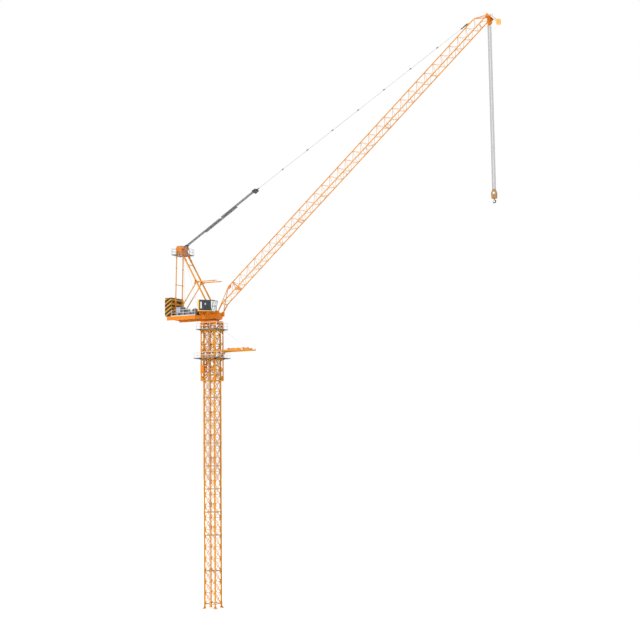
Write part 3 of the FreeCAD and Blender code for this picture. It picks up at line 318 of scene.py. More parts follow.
# ----------------------------------------------------------------------------- mesh code
class Shape:
    """Collects solids in model millimetres and makes one mesh of them."""

    def __init__(self):
        self.v, self.f, self.s = [], [], []

    def add(self, verts, faces, smooth=False):
        n = len(self.v)
        self.v.extend(tuple(p) for p in verts)
        for face in faces:
            self.f.append(tuple(i + n for i in face))
            self.s.append(smooth)

    def beam(self, p, q, w, h=None, up=None, c=0.12):
        """A bar with chamfered long edges from p to q: w across, h along up."""
        p, q = V(p), V(q)
        h = w if h is None else h
        d = q - p
        if d.length < 1e-6:
            return
        d.normalize()
        up = V(up) if up is not None else (V((0, 0, 1)) if abs(d.z) < 0.9 else V((1, 0, 0)))
        side = d.cross(up)
        if side.length < 1e-6:
            side = d.cross(V((0, 1, 0)))
        side.normalize()
        up = side.cross(d)
        k = min(w, h) * c
        a, b = w / 2, h / 2
        if k <= 0:
            prof = [(-a, -b), (a, -b), (a, b), (-a, b)]
        else:
            prof = [(-a + k, -b), (a - k, -b), (a, -b + k), (a, b - k), (a - k, b), (-a + k, b), (-a, b - k), (-a, -b + k)]
        n = len(prof)
        verts = [p + side * x + up * y for x, y in prof] + [q + side * x + up * y for x, y in prof]
        faces = [(i, (i + 1) % n, n + (i + 1) % n, n + i) for i in range(n)]
        faces += [tuple(range(n - 1, -1, -1)), tuple(range(n, 2 * n))]
        self.add(verts, faces)

    def block(self, lo, hi, c=1.0):
        """A box with all edges chamfered by c."""
        lo, hi = V(lo), V(hi)
        c = min(c, min(hi - lo) * 0.3)
        verts = []
        idx = {}
        for ix in (0, 1):
            for iy in (0, 1):
                for iz in (0, 1):
                    base = V((hi.x if ix else lo.x, hi.y if iy else lo.y, hi.z if iz else lo.z))
                    inn = V((-c if ix else c, -c if iy else c, -c if iz else c))
                    for ax in range(3):
                        p = base.copy()
                        for other in range(3):
                            if other != ax:
                                p[other] += inn[other]
                        idx[(ix, iy, iz, ax)] = len(verts)
                        verts.append(p)
        faces = []
        for ax in range(3):
            o1, o2 = [a for a in range(3) if a != ax]
            for s in (0, 1):
                loop = []
                for a, b in ((0, 0), (1, 0), (1, 1), (0, 1)):
                    key = [0, 0, 0]
                    key[ax], key[o1], key[o2] = s, a, b
                    loop.append(idx[(key[0], key[1], key[2], ax)])
                faces.append(tuple(loop))
        for ax in range(3):
            o1, o2 = [a for a in range(3) if a != ax]
            for a in (0, 1):
                for b in (0, 1):
                    k0, k1 = [0, 0, 0], [0, 0, 0]
                    k0[o1] = k1[o1] = a
                    k0[o2] = k1[o2] = b
                    k1[ax] = 1
                    k0, k1 = tuple(k0), tuple(k1)
                    faces.append((idx[k0 + (o1,)], idx[k1 + (o1,)], idx[k1 + (o2,)], idx[k0 + (o2,)]))
        for ix in (0, 1):
            for iy in (0, 1):
                for iz in (0, 1):
                    faces.append(tuple(idx[(ix, iy, iz, ax)] for ax in range(3)))
        self.add(verts, faces)

    def rod(self, p, q, r, n=10, r2=None, caps=True):
        p, q = V(p), V(q)
        r2 = r if r2 is None else r2
        d = (q - p).normalized()
        a = d.orthogonal().normalized()
        b = d.cross(a)
        verts = []
        for c, rr in ((p, r), (q, r2)):
            for i in range(n):
                t = 2 * math.pi * i / n
                verts.append(c + a * (rr * math.cos(t)) + b * (rr * math.sin(t)))
        faces = [(i, (i + 1) % n, n + (i + 1) % n, n + i) for i in range(n)]
        self.add(verts, faces, n > 6)
        if caps:
            self.add(verts, [tuple(range(n - 1, -1, -1)), tuple(range(n, 2 * n))])

    def lathe(self, centre, axis, profile, n=24, smooth=True):
        """Turns a profile of (along, radius) round the axis."""
        centre, axis = V(centre), V(axis).normalized()
        a = axis.orthogonal().normalized()
        b = axis.cross(a)
        m = len(profile)
        verts = []
        for i in range(n):
            t = 2 * math.pi * i / n
            for s, r in profile:
                verts.append(centre + axis * s + a * (r * math.cos(t)) + b * (r * math.sin(t)))
        faces = []
        for i in range(n):
            j = (i + 1) % n
            for k in range(m - 1):
                faces.append((i * m + k, j * m + k, j * m + k + 1, i * m + k + 1))
        self.add(verts, faces, smooth)

    def path(self, points, r, n=8):
        """A round bar through the points."""
        pts = [V(p) for p in points]
        up = None
        rings = []
        for i, p in enumerate(pts):
            d = (pts[min(i + 1, len(pts) - 1)] - pts[max(i - 1, 0)]).normalized()
            if up is None:
                up = d.orthogonal().normalized()
            up = (up - d * up.dot(d)).normalized()
            b = d.cross(up)
            rr = r(i / (len(pts) - 1)) if callable(r) else r
            rings.append([p + up * (rr * math.cos(2 * math.pi * k / n)) + b * (rr * math.sin(2 * math.pi * k / n)) for k in range(n)])
        verts = [v for ring in rings for v in ring]
        faces = []
        for i in range(len(rings) - 1):
            for k in range(n):
                faces.append((i * n + k, i * n + (k + 1) % n, (i + 1) * n + (k + 1) % n, (i + 1) * n + k))
        self.add(verts, faces, True)
        last = (len(rings) - 1) * n
        self.add(verts, [tuple(range(n - 1, -1, -1)), tuple(last + k for k in range(n))])

    def plate(self, points, normal, thick):
        """A flat plate: polygon points in space, thickened both ways along its normal."""
        nrm = V(normal).normalized() * (thick / 2)
        n = len(points)
        verts = [V(p) - nrm for p in points] + [V(p) + nrm for p in points]
        faces = [tuple(range(n - 1, -1, -1)), tuple(range(n, 2 * n))]
        faces += [(i, (i + 1) % n, n + (i + 1) % n, n + i) for i in range(n)]
        self.add(verts, faces)

    def xz(self, points, y0, y1):
        """Prism with its outline in the XZ plane."""
        self.plate([(x, (y0 + y1) / 2, z) for x, z in points], (0, 1, 0), abs(y1 - y0))

    def bolt(self, p, axis, r, h):
        p, axis = V(p), V(axis).normalized()
        self.rod(p, p + axis * (h * 0.25), r * 1.35, 10)
        self.rod(p + axis * (h * 0.25), p + axis * h, r, 6)

    def make(self, name, body, mat):
        me = bpy.data.meshes.new(name)
        me.from_pydata([(x / 1000.0, y / 1000.0, z / 1000.0) for x, y, z in self.v], [], self.f)
        me.validate()
        me.polygons.foreach_set("use_smooth", self.s[:len(me.polygons)] if len(self.s) >= len(me.polygons) else [False] * len(me.polygons))
        me.materials.append(M[mat])
        me.update()
        o = bpy.data.objects.new(name, me)
        bpy.context.scene.collection.objects.link(o)
        import bmesh
        bm = bmesh.new()
        bm.from_mesh(me)
        bmesh.ops.recalc_face_normals(bm, faces=bm.faces)
        bm.to_mesh(me)
        bm.free()
        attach(o, body)
        return o


X, Y, Z = V((1, 0, 0)), V((0, 1, 0)), V((0, 0, 1))
LEGS = [(-1, -1), (-1, 1), (1, -1), (1, 1)]
JOINTS = [80, 640, 1250] + [1250 + 400 * k for k in range(1, 10)]
MIDS = [1450 + 400 * k for k in range(9)]

# ----------------------------------------------------------------------------- mast
splice, pins = Shape(), Shape()
for z in JOINTS:
    for sx, sy in LEGS:
        cx, cy = 105 * sx, 105 * sy
        for dz in (-21, 3):
            splice.block((cx - 14.3, cy - 14.3, z + dz), (cx + 14.3, cy + 14.3, z + dz + 18), 1.4)
        for ox, oy in ((sx * 9, sy * 17.4), (sx * 17.4, sy * 9), (-sx * 3, sy * 17.4), (sx * 17.4, -sy * 3)):
            p = (cx + ox * 0.9, cy + oy * 0.9, z - 27)
            pins.rod(p, (p[0], p[1], z + 27), 2.4, 8)
            pins.rod((p[0], p[1], z + 23), (p[0], p[1], z + 28), 3.8, 6)
            pins.rod((p[0], p[1], z - 28), (p[0], p[1], z - 23), 3.8, 6)
splice.make("mast_leg_splice_collars", "mast", "orange")
pins.make("mast_leg_splice_bolts", "mast", "zinc")

gus = Shape()
for z in MIDS:
    for sx, sy in LEGS:
        gus.plate([(sx * 96, sy * 109.6, z - 15), (sx * 96, sy * 109.6, z + 15), (sx * 82, sy * 109.6, z)], Y, 2.2)
        gus.plate([(sx * 109.6, sy * 96, z - 15), (sx * 109.6, sy * 96, z + 15), (sx * 109.6, sy * 82, z)], X, 2.2)
gus.make("mast_bracing_node_plates", "mast", "orange")

lugs = Shape()
for z in JOINTS[2:-1]:
    # climbing lugs of each section, on two opposite legs
    for leg, tow in (((-1, 1), -1), ((1, -1), 1)):
        px, py = leg[0] * 105, leg[1] * 105
        y0 = py + tow * 9
        for dx in (-5, 5):
            lugs.plate([(px + dx, y0, z + 118), (px + dx, y0 + tow * 34, z + 142), (px + dx, y0 + tow * 34, z + 152), (px + dx, y0, z + 176)], X, 3)
        lugs.rod((px - 7.5, y0 + tow * 24, z + 146), (px + 7.5, y0 + tow * 24, z + 146), 4, 10)
        for dy in (-5, 5):
            x0 = px - leg[0] * 9
            lugs.plate([(x0, py + dy, z + 118), (x0 - leg[0] * 26, py + dy, z + 142), (x0 - leg[0] * 26, py + dy, z + 152), (x0, py + dy, z + 176)], Y, 3)
lugs.make("mast_climbing_lugs", "mast", "deep")

lad = Shape()
z = 90.0
while z < 4870:
    lad.rod((-64, -19, z), (-64, 19, z), 1.3, 6)
    z += 30
for z0 in [260 + 200 * k for k in range(23)]:
    for s in (-1, 1):
        lad.beam((-64, s * 22, z0), (-101, s * 22, z0), 3.2, 5)
lad.make("mast_ladder_rungs_and_brackets", "mast", "galv")

land = Shape()
for z in [640] + [1250 + 400 * k for k in range(9)]:
    for s in (-1, 1):
        land.beam((-58, s * 90, z + 2), (90, s * 90, z + 2), 3, 4)
    # hatch frame and its lid stays
    land.beam((-56, -24, z + 3), (-56, 24, z + 3), 3, 4)
    land.beam((-20, -24, z + 3), (-20, 24, z + 3), 3, 4)
    land.beam((-56, -24, z + 3), (-20, -24, z + 3), 3, 4)
    land.beam((-56, 24, z + 3), (-20, 24, z + 3), 3, 4)
land.make("mast_landing_edges_and_hatches", "mast", "galv")

ft, fb = Shape(), Shape()
for sx, sy in LEGS:
    cx, cy = 105 * sx, 105 * sy
    for a, b in ((-1, 0), (1, 0), (0, -1), (0, 1)):
        p = V((cx + a * 12, cy + b * 12, 12))
        ft.plate([p, p + V((a * 15, b * 15, 0)), p + V((a * 4, b * 4, 44)), p + V((0, 0, 50))], (b, a, 0), 2.6)
    ft.block((cx - 14.5, cy - 14.5, 12), (cx + 14.5, cy + 14.5, 20), 1.5)
    hx, hy = 127 * sx, 127 * sy
    fb.lathe((hx, hy, 12), Z, [(0, 3.2), (0, 6.4), (1.2, 6.4), (1.2, 3.2)], 14)
    fb.rod((hx, hy, 13.2), (hx, hy, 17.6), 5.2, 6)
    fb.rod((hx, hy, 17.6), (hx, hy, 21), 4.6, 6)
    fb.rod((hx, hy, 12), (hx, hy, 27), 2.7, 10)
ft.make("foot_stiffeners", "mast", "orange")
fb.make("foot_anchor_nuts", "mast", "zinc")

# ----------------------------------------------------------------------------- climbing cage
cg, cr, cb = Shape(), Shape(), Shape()
for sx, sy in LEGS:
    cx, cy = 141 * sx, 141 * sy
    for z0, z1, w in ((4440, 4530, 46), (4322, 4392, 34), (4880, 4952, 44), (3946, 4000, 40), (4600, 4640, 26)):
        if sx > 0 and z0 in (4322, 4440, 4600):
            w = w * 0.6
        x0, x1 = (cx - 8, cx - 8 + w) if sx < 0 else (cx + 8 - w, cx + 8)
        y = cy + sy * 5.6
        # corner plates on the side faces, cut away towards the open bay
        far = x1 if sx < 0 else x0
        near = x0 if sx < 0 else x1
        cg.plate([(near, y, z0), (far - (far - near) * 0.35, y, z0), (far, y, z0 + (z1 - z0) * 0.3), (far, y, z1 - (z1 - z0) * 0.3), (far - (far - near) * 0.35, y, z1), (near, y, z1)], Y, 2.4)
        fary = cy - sy * (w - 8)
        neary = cy + sy * 8
        cg.plate([(cx + sx * 5.6, neary, z0), (cx + sx * 5.6, fary, z0), (cx + sx * 5.6, fary, z1), (cx + sx * 5.6, neary, z1)], X, 2.4)
    for z in (4008, 4418, 4818):
        # guide rollers between cage and leg, with their forks
        for a in (0, 1):
            c = V((cx - sx * 11, cy - sy * 2, z - 34)) if a == 0 else V((cx - sx * 2, cy - sy * 11, z - 34))
            ax = Y if a == 0 else X
            cr.lathe(c - ax * 5, ax, [(0, 2.5), (0, 7.2), (1.2, 8.2), (8.8, 8.2), (10, 7.2), (10, 2.5)], 16)
            cb.rod(c - ax * 8, c + ax * 8, 2.4, 8)
            for e in (-7, 7):
                cb.plate([c + ax * e + V((-6, -6, -8)) * 1.0 if a else c + ax * e + V((-6, 0, -8)), c + ax * e + V((6, 0, -8)) if a == 0 else c + ax * e + V((0, 6, -8)), c + ax * e + (V((5, 0, 14)) if a == 0 else V((0, 5, 14))), c + ax * e + (V((-5, 0, 14)) if a == 0 else V((0, -5, 14)))], ax, 2)
cg.make("cage_corner_plates", "mast", "deep")
cr.make("cage_guide_rollers", "mast", "rubber")
cb.make("cage_roller_forks", "mast", "orange")

# haunches under the turntable: each gap between uprights closes in a round arch
hn = Shape()


def arch(u0, u1, top, drop, put, normal, thick):
    """A plate over the gap u0..u1 whose lower edge is an arch; drop is the depth at the ends."""
    n = 12
    for i in range(n):
        a, b = u0 + (u1 - u0) * i / n, u0 + (u1 - u0) * (i + 1) / n
        za, zb = [top - 4 - drop * (1 - math.sqrt(max(0.0, 1 - (2 * (q - u0) / (u1 - u0) - 1) ** 2))) for q in (a, b)]
        hn.plate([put(a, za), put(b, zb), put(b, top), put(a, top)], normal, thick)


for s in (-1, 1):
    for u0, u1 in ((-133, -115), (-95, 0), (0, 95), (115, 133)):
        d = 46 if abs(u1 - u0) > 50 else 30
        arch(u0, u1, 4975, d, lambda u, z, s=s: (u, s * 147, z), Y, 3)
        arch(u0, u1, 4975, d, lambda u, z, s=s: (s * 147, u, z), X, 3)
    hn.beam((-148, s * 147, 4968), (148, s * 147, 4968), 3.4, 12)
    hn.beam((s * 147, -148, 4968), (s * 147, 148, 4968), 3.4, 12)
hn.make("turntable_haunches", "mast", "deep")

br, toe = Shape(), Shape()
for z, half in ((4338, 240), (4850, 210)):
    for s in (-1, 1):
        for u in (-half + 16, -141, -45, 45, 141, half - 16):
            br.beam((u, s * 149, z - 3), (u, s * (half - 4), z - 3), 5, 6)
            br.beam((s * 149, u, z - 3), (s * (half - 4), u, z - 3), 5, 6)
        for u in (-141, 141):
            br.plate([(u, s * 149, z - 4), (u, s * (half - 34), z - 4), (u, s * 149, z - 26)], X, 4)
            br.plate([(s * 149, u, z - 4), (s * (half - 34), u, z - 4), (s * 149, u, z - 26)], Y, 4)
        br.beam((-half + 2, s * (half - 3), z - 3), (half - 2, s * (half - 3), z - 3), 5, 6)
        br.beam((s * (half - 3), -half + 2, z - 3), (s * (half - 3), half - 2, z - 3), 5, 6)
        for u in (-141, 0, 141):
            toe.block((u - 5, s * (half - 3) - 3, z + 6), (u + 5, s * (half - 3) + 3, z + 12), 1)
            toe.block((s * (half - 3) - 3, u - 5, z + 6), (s * (half - 3) + 3, u + 5, z + 12), 1)
br.make("cage_platform_bearers", "mast", "dark")
toe.make("cage_rail_sockets", "mast", "galv")

pp, hose = Shape(), Shape()
for k in range(7):
    z = 4084 + 9 * k
    pp.plate([(-132, -172.2, z), (-94, -172.2, z), (-94, -171.2, z + 5), (-132, -171.2, z + 5)], Y, 1.2)
pp.block((-136, -173, 4158), (-100, -170.5, 4206), 0.8)
pp.beam((-141, -160, 4219), (-73, -160, 4219), 24, 3)
pp.lathe((-86, -160, 4220), Z, [(0, 0.1), (0, 5), (7, 5), (8, 4), (8, 0.1)], 14)
pp.make("power_pack_covers", "mast", "deep")
hose.path([(-96, -156, 4218), (-98, -156, 4236), (-114, -128, 4256), (-124, -60, 4250), (-126, -16, 4232), (-123, -11, 4218)], 1.8, 8)
hose.path([(-106, -156, 4218), (-110, -154, 4242), (-122, -118, 4272), (-129, -50, 4298), (-127, -14, 4330), (-123, -10, 4342)], 1.8, 8)
hose.make("power_pack_hoses", "mast", "rubber")
ram = Shape()
ram.lathe((-120, 0, 4112), Z, [(0, 5.1), (0, 12), (10, 12), (12, 10), (12, 5.1)], 20)
ram.lathe((-120, 0, 4168), Z, [(0, 5.2), (0, 12), (3, 13), (12, 13), (15, 9.2)], 20)
ram.lathe((-120, 0, 4345), Z, [(0, 10.1), (2, 12.6), (13, 12.6), (14, 8)], 20)
for y in (-84, 84):
    ram.block((-133, y - 9, 4092), (-107, y + 9, 4118), 2)
    ram.plate([(-120, y - 8, 4112), (-120, y + 8, 4112), (-120, y, 4140)], X, 8)
ram.make("climbing_cylinder_heads", "mast", "red")

ir, tw = Shape(), Shape()
for s in (-1, 1):
    y = 141 * s
    for z in (4450, 4470):
        ir.beam((149, y, z), (797, y, z), 13, 3, Z)
    for k in range(6):
        x = 196 + 112 * k
        ir.plate([(x, y - 6, 4451), (x, y + 6, 4451), (x, y + 6, 4469), (x, y - 6, 4469)], X, 2)
    ir.plate([(149, y, 4449), (149, y, 4400), (156, y, 4400), (202, y, 4449)], Y, 5)
    ir.block((788, y - 6, 4470), (799, y + 6, 4483), 2)
    ir.block((149, y - 8, 4445), (157, y + 8, 4477), 2)
ir.beam((510, -135, 4454), (510, 135, 4454), 9, 9)
ir.beam((156, -135, 4456), (500, -134, 4456), 3, 3)
ir.beam((156, 134, 4456), (500, 135, 4456), 3, 3)
ir.make("introduction_rail_flanges", "mast", "orange")
for s in (-1, 1):
    for x in (412, 712):
        c = V((x, s * 141, 4479.6))
        tw.lathe(c - Y * 4.6, Y, [(0, 2), (0, 7), (1.4, 7), (1.8, 5.6), (7.4, 5.6), (7.8, 7), (9.2, 7), (9.2, 2)], 18)
        tw.rod(c - Y * 7, c + Y * 7, 2.2, 8)
tw.make("introduction_trolley_wheels", "trolley", "dark")
tt = Shape()
for s in (-1, 1):
    y = 141 * s
    for x0, x1 in ((396, 440), (694, 732)):
        tt.xz([(x0, 4489), (x1, 4489), (x1 - 10, 4499), (x0 + 10, 4499)], y - 3.6, y + 3.6)
for x in (426, 640, 722):
    tt.block((x - 8, -30, 4488), (x + 8, 30, 4499), 2)
    tt.rod((x, -10, 4505), (x, 10, 4505), 4, 10)
    for y in (-10, 10):
        tt.plate([(x - 6, y, 4498), (x + 6, y, 4498), (x + 3, y, 4510), (x - 3, y, 4510)], Y, 3)
tt.make("introduction_trolley_fittings", "trolley", "deep")

# ----------------------------------------------------------------------------- turntable
teeth, low = Shape(), Shape()
nt_ = 96
for i in range(nt_):
    a = 2 * math.pi * i / nt_
    r0, r1 = 124.6, 128.6
    w0, w1 = 0.017, 0.010
    pts = [(r0, a - w0), (r1, a - w1), (r1, a + w1), (r0, a + w0)]
    teeth.plate([(r * math.cos(t), r * math.sin(t), 5009.5) for r, t in pts], Z, 13)
teeth.make("slew_ring_teeth", "mast", "machine")
for s in (-1, 1):
    for u in (-141, -50, 50, 141):
        low.plate([(u, s * 145, 4977), (u, s * 147.5, 4979), (u, s * 146.5, 4998), (u, s * 145, 4999)], X, 3)
        low.plate([(s * 145, u, 4977), (s * 147.5, u, 4979), (s * 146.5, u, 4998), (s * 145, u, 4999)], Y, 3)
low.lathe((0, 0, 4999.5), Z, [(0, 124), (0, 133), (2.5, 133), (2.5, 124)], 48)
for i in range(24):
    a = 2 * math.pi * i / 24
    low.bolt((130.4 * math.cos(a), 130.4 * math.sin(a), 5002), Z, 1.6, 3)
low.make("turntable_lower_ribs_and_bolts", "mast", "deep")
up = Shape()
for z in (5041.5, 5147.5):
    up.beam((-139, -136.5, z), (139, -136.5, z), 5, 4)
    up.beam((-139, 136.5, z), (139, 136.5, z), 5, 4)
    up.beam((136.5, -139, z), (136.5, 139, z), 5, 4)
for s in (-1, 1):
    for u in (-112, -66, -22, 22, 66, 112):
        up.plate([(u, s * 135, 5043), (u, s * 138.5, 5043), (u, s * 138.5, 5146), (u, s * 135, 5146)], X, 3)
    up.block((30, s * 135 - 2.4, 5062), (100, s * 135 + 2.4, 5130), 1.2)
    for cx, cz in ((36, 5068), (94, 5068), (36, 5124), (94, 5124)):
        up.bolt((cx, s * 137, cz), Y * s, 1.8, 3)
    # haunch towards the counter-deck girders
    up.plate([(-135, s * 90, 5104), (-230, s * 90, 5104), (-135, s * 90, 5147)], Y, 8)
    up.plate([(-120, s * 138, 5041), (120, s * 138, 5041), (96, s * 138, 5030), (-96, s * 138, 5030)], Y, 4)
    up.plate([(s * 138, -120, 5041), (s * 138, 120, 5041), (s * 138, 96, 5030), (s * 138, -96, 5030)], X, 4)
for y in (-60, 0, 60):
    up.plate([(155, y - 14, 5070), (157.5, y - 14, 5070), (157.5, y - 14, 5140), (155, y - 14, 5140)], Y, 2.4)
up.make("turntable_upper_ribs_and_doors", "upperworks", "deep")
sm = Shape()
for y in (-62, 62):
    sm.lathe((-70, y, 5149), Z, [(0, 24), (4, 24), (4, 17), (30, 17), (32, 19), (44, 19), (50, 14), (54, 5), (54, 0.2)], 22)
    for k in range(9):
        a = 2 * math.pi * k / 9
        sm.plate([(-70 + 17 * math.cos(a), y + 17 * math.sin(a), 5156), (-70 + 20 * math.cos(a), y + 20 * math.sin(a), 5156), (-70 + 20 * math.cos(a), y + 20 * math.sin(a), 5180), (-70 + 17 * math.cos(a), y + 17 * math.sin(a), 5180)], (-math.sin(a), math.cos(a), 0), 1.6)
sm.make("slewing_motors", "upperworks", "motor")
pv = Shape()
for s in (-1, 1):
    y = 95 * s
    for e in (-22, 22):
        pv.lathe((180, y + e - 2, 5155), Y, [(0, 0.2), (0, 11), (4, 11), (4, 0.2)], 20)
        pv.plate([(156, y + (e / 22) * 13, 5088), (176, y + (e / 22) * 13, 5092), (188, y + (e / 22) * 13, 5138), (156, y + (e / 22) * 13, 5146)], Y, 5)
pv.make("jib_pivot_pin_caps", "upperworks", "deep")

# ----------------------------------------------------------------------------- counter-deck and machinery
dk, dt = Shape(), Shape()
for s in (-1, 1):
    for z in (5077, 5103):
        dk.beam((-804, s * 90, z), (-136, s * 90, z), 28, 4, Z)
    for k in range(13):
        x = -790 + 50 * k
        dk.plate([(x, s * 90 - 12.5, 5079), (x, s * 90 + 12.5, 5079), (x, s * 90 + 12.5, 5101), (x, s * 90 - 12.5, 5101)], X, 2.4)
    for k in range(12):
        x = -780 + 50 * k
        dk.plate([(x, s * 102, 5082), (x, s * 202, 5078), (x, s * 202, 5100), (x, s * 102, 5100)], X, 3)
    dk.beam((-804, s * 213.6, 5044), (-216, s * 213.6, 5044), 2.6, 5, Z)
    dk.beam((-804, s * 213.6, 5102), (-216, s * 213.6, 5102), 2.6, 5, Z)
    dt.beam((-718, s * 213.6, 5115), (-218, s * 213.6, 5115), 2.4, 9, Z)
    for k in range(12):
        dt.bolt((-700 + 42 * k, s * 205, 5111), Z, 1.6, 2.6)
for s in (-1, 1):
    # tapering side plates from the deck's edge beams in to the slewing platform
    dk.plate([(-220, s * 208, 5045), (-136, s * 139, 5045), (-136, s * 139, 5104), (-220, s * 208, 5104)], (69, s * -84 * -1, 0), 6)
    dk.beam((-220, s * 208, 5103), (-136, s * 139, 5103), 12, 4, Z)
dk.make("deck_girder_flanges_and_ribs", "upperworks", "deep")
dt.make("deck_toe_boards", "upperworks", "galv")

wr = Shape()
n_w = 24
for i in range(n_w):
    y = -52 + 104.0 * i / (n_w - 1)
    wr.lathe((-315, y, 5190), Y, [(2.2 * math.cos(q), 46 + 2.2 * math.sin(q)) for q in [2 * math.pi * k / 6 for k in range(7)]], 36)
for i in range(12):
    y = -52 + 4.5 * i
    wr.lathe((-315, y, 5190), Y, [(2.2 * math.cos(q), 50 + 2.2 * math.sin(q)) for q in [2 * math.pi * k / 6 for k in range(7)]], 36)
wr.make("hoist_drum_rope_wraps", "hoist_winch", "rope")
wl = Shape()
for i in range(20):
    y = -43 + 86.0 * i / 19
    wl.lathe((-535, y, 5186), Y, [(2.2 * math.cos(q), 40 + 2.2 * math.sin(q)) for q in [2 * math.pi * k / 6 for k in range(7)]], 32)
wl.make("luffing_drum_rope_wraps", "luffing_winch", "rope")
for x, z, r, half, body in ((-315, 5190, 60, 65, "hoist_winch"), (-535, 5186, 54, 55, "luffing_winch")):
    dr = Shape()
    for s in (-1, 1):
        y = s * half
        for k in range(8):
            a = 2 * math.pi * k / 8
            c = V((x + 33 * math.cos(a), y, z + 33 * math.sin(a)))
            dr.beam(c + V((-12 * math.cos(a), s * 1.0, -12 * math.sin(a))), c + V((21 * math.cos(a), s * 1.0, 21 * math.sin(a))), 4, 3, Y)
        dr.lathe((x, y - 1.2, z), Y, [(0, r - 5), (0, r + 0.0), (2.4, r + 0.0), (2.4, r - 5)], 40)
        dr.lathe((x, y - 1.6, z), Y, [(0, 9), (0, 18), (3.2, 18), (3.2, 9)], 24)
    dr.make(body + "_drum_flange_ribs", body, "sheave")

wm, wf = Shape(), Shape()
for x, zc, half, reach, rr in ((-315, 5190, 65, 62, 34), (-535, 5186, 55, 56, 30)):
    for s in (-1, 1):
        y = s * (half + 5)
        yo = s * (half + 15)
        # bearing housing, feet and edge flanges of the winch stand
        wf.lathe((x, yo, zc), Y * s, [(0, 9.2), (0, 20), (5, 20), (7, 17), (7, 0.2)], 22)
        for k in range(6):
            a = 2 * math.pi * k / 6
            wf.bolt((x + 15.5 * math.cos(a), yo + s * 5, zc + 15.5 * math.sin(a)), Y * s, 1.6, 3)
        wf.beam((x - reach, yo, 5113), (x + reach, yo, 5113), 12, 4, Z)
        wf.beam((x - reach + 2, yo - s * 5, 5113), (x - reach + 2, yo - s * 5, zc + 20), 4, 12, Y)
        wf.beam((x + reach - 2, yo - s * 5, 5113), (x + reach - 2, yo - s * 5, zc + 20), 4, 12, Y)
        wf.plate([(x - 30, yo, 5112), (x - 30, yo + s * 16, 5112), (x - 30, yo, 5150)], X, 4)
        wf.plate([(x + 30, yo, 5112), (x + 30, yo + s * 16, 5112), (x + 30, yo, 5150)], X, 4)
    # gearbox on the far cheek, brake on the near one
    g = half + 24
    wm.lathe((x, g, zc), Y, [(0, 12), (0, rr + 6), (6, rr + 8), (10, rr + 8), (12, rr), (40, rr), (44, rr - 8), (52, rr - 10), (52, 0.2)], 28)
    wm.block((x - 26, g + 4, 5112), (x + 26, g + 40, zc - 10), 3)
    for k in range(10):
        a = 2 * math.pi * k / 10
        wm.bolt((x + (rr + 4) * math.cos(a), g + 6, zc + (rr + 4) * math.sin(a)), Y, 1.8, 3)
wf.make("winch_stand_bearings_and_flanges", "upperworks", "machine")
wm.make("winch_gearboxes", "upperworks", "machine")

mf = Shape()
for x, z, r, y0, y1 in ((-315, 5158, 27, -160, -88), (-615, 5155, 24, -148, -76)):
    for k in range(18):
        a = 2 * math.pi * k / 18
        if math.sin(a) < -0.75:
            continue
        c, sn = math.cos(a), math.sin(a)
        mf.beam((x + (r + 1.5) * c, y0 + 12, z + (r + 1.5) * sn), (x + (r + 1.5) * c, y1 - 10, z + (r + 1.5) * sn), 1.8, 5, (c, 0, sn))
    mf.lathe((x, y0 - 8, z), Y, [(0, 0.2), (0, r - 5), (2, r - 1), (16, r + 2.5), (18, r + 2.5), (18, r)], 26)
    mf.lathe((x, y1 - 8, z), Y, [(0, r), (0, r + 3), (6, r + 3), (6, r)], 26)
    mf.block((x - 13, y0 + 22, z + r), (x + 13, y0 + 48, z + r + 13), 2)
    for k in range(5):
        mf.lathe((x, y0 - 9.2, z), Y, [(0, 4 + 3.6 * k), (0, 5.4 + 3.6 * k), (1.6, 5.4 + 3.6 * k), (1.6, 4 + 3.6 * k)], 20)
mf.make("winch_motor_fins_and_cowls", "upperworks", "motor")

cab_b = Shape()
cab_b.block((-616, -204, 5172), (-530, -168, 5266), 3)
cab_b.block((-612, -207, 5178), (-575, -203, 5260), 1.4)
cab_b.block((-571, -207, 5178), (-534, -203, 5260), 1.4)
cab_b.block((-619, -208, 5264), (-527, -165, 5270), 2)
for k in range(5):
    cab_b.plate([(-606, -208, 5190 + 7 * k), (-582, -208, 5190 + 7 * k), (-582, -206.4, 5194 + 7 * k), (-606, -206.4, 5194 + 7 * k)], Y, 1)
cab_b.rod((-573, -209, 5210), (-573, -209, 5234), 1.6, 8)
for x in (-610, -536):
    for y in (-200, -172):
        cab_b.beam((x, y, 5111), (x, y, 5173), 6, 6)
cab_b.make("control_cabinet", "upperworks", "motor")
aux = Shape()
aux.block((-520, -200, 5114), (-446, -150, 5226), 4)
aux.block((-516, -202, 5120), (-485, -199, 5218), 1.2)
aux.block((-481, -202, 5120), (-450, -199, 5218), 1.2)
aux.lathe((-522, -172, 5246), X, [(0, 0.2), (0, 15), (3, 19), (12, 21), (14, 18), (56, 18), (58, 21), (66, 21), (70, 14), (76, 14), (76, 0.2)], 24)
aux.block((-508, -180, 5224), (-460, -164, 5234), 2)
aux.block((-436, -200, 5114), (-352, -140, 5184), 4)
aux.block((-432, -202, 5120), (-396, -199, 5176), 1.2)
aux.block((-392, -202, 5120), (-356, -199, 5176), 1.2)
aux.lathe((-438, -170, 5206), X, [(0, 0.2), (0, 14), (3, 20), (16, 22), (18, 19), (64, 19), (66, 22), (74, 22), (78, 12), (86, 12), (86, 0.2)], 24)
aux.block((-422, -180, 5182), (-370, -160, 5190), 2)
aux.rod((-364, -152, 5184), (-364, -152, 5226), 9, 14)
aux.lathe((-364, -152, 5224), Z, [(0, 11), (3, 13), (7, 13), (9, 8), (9, 0.2)], 16)
aux.block((-440, 140, 5114), (-330, 200, 5212), 4)
for k in range(8):
    aux.plate([(-430, 201.4, 5126 + 9 * k), (-340, 201.4, 5126 + 9 * k), (-340, 200, 5131 + 9 * k), (-430, 200, 5131 + 9 * k)], Y, 1)
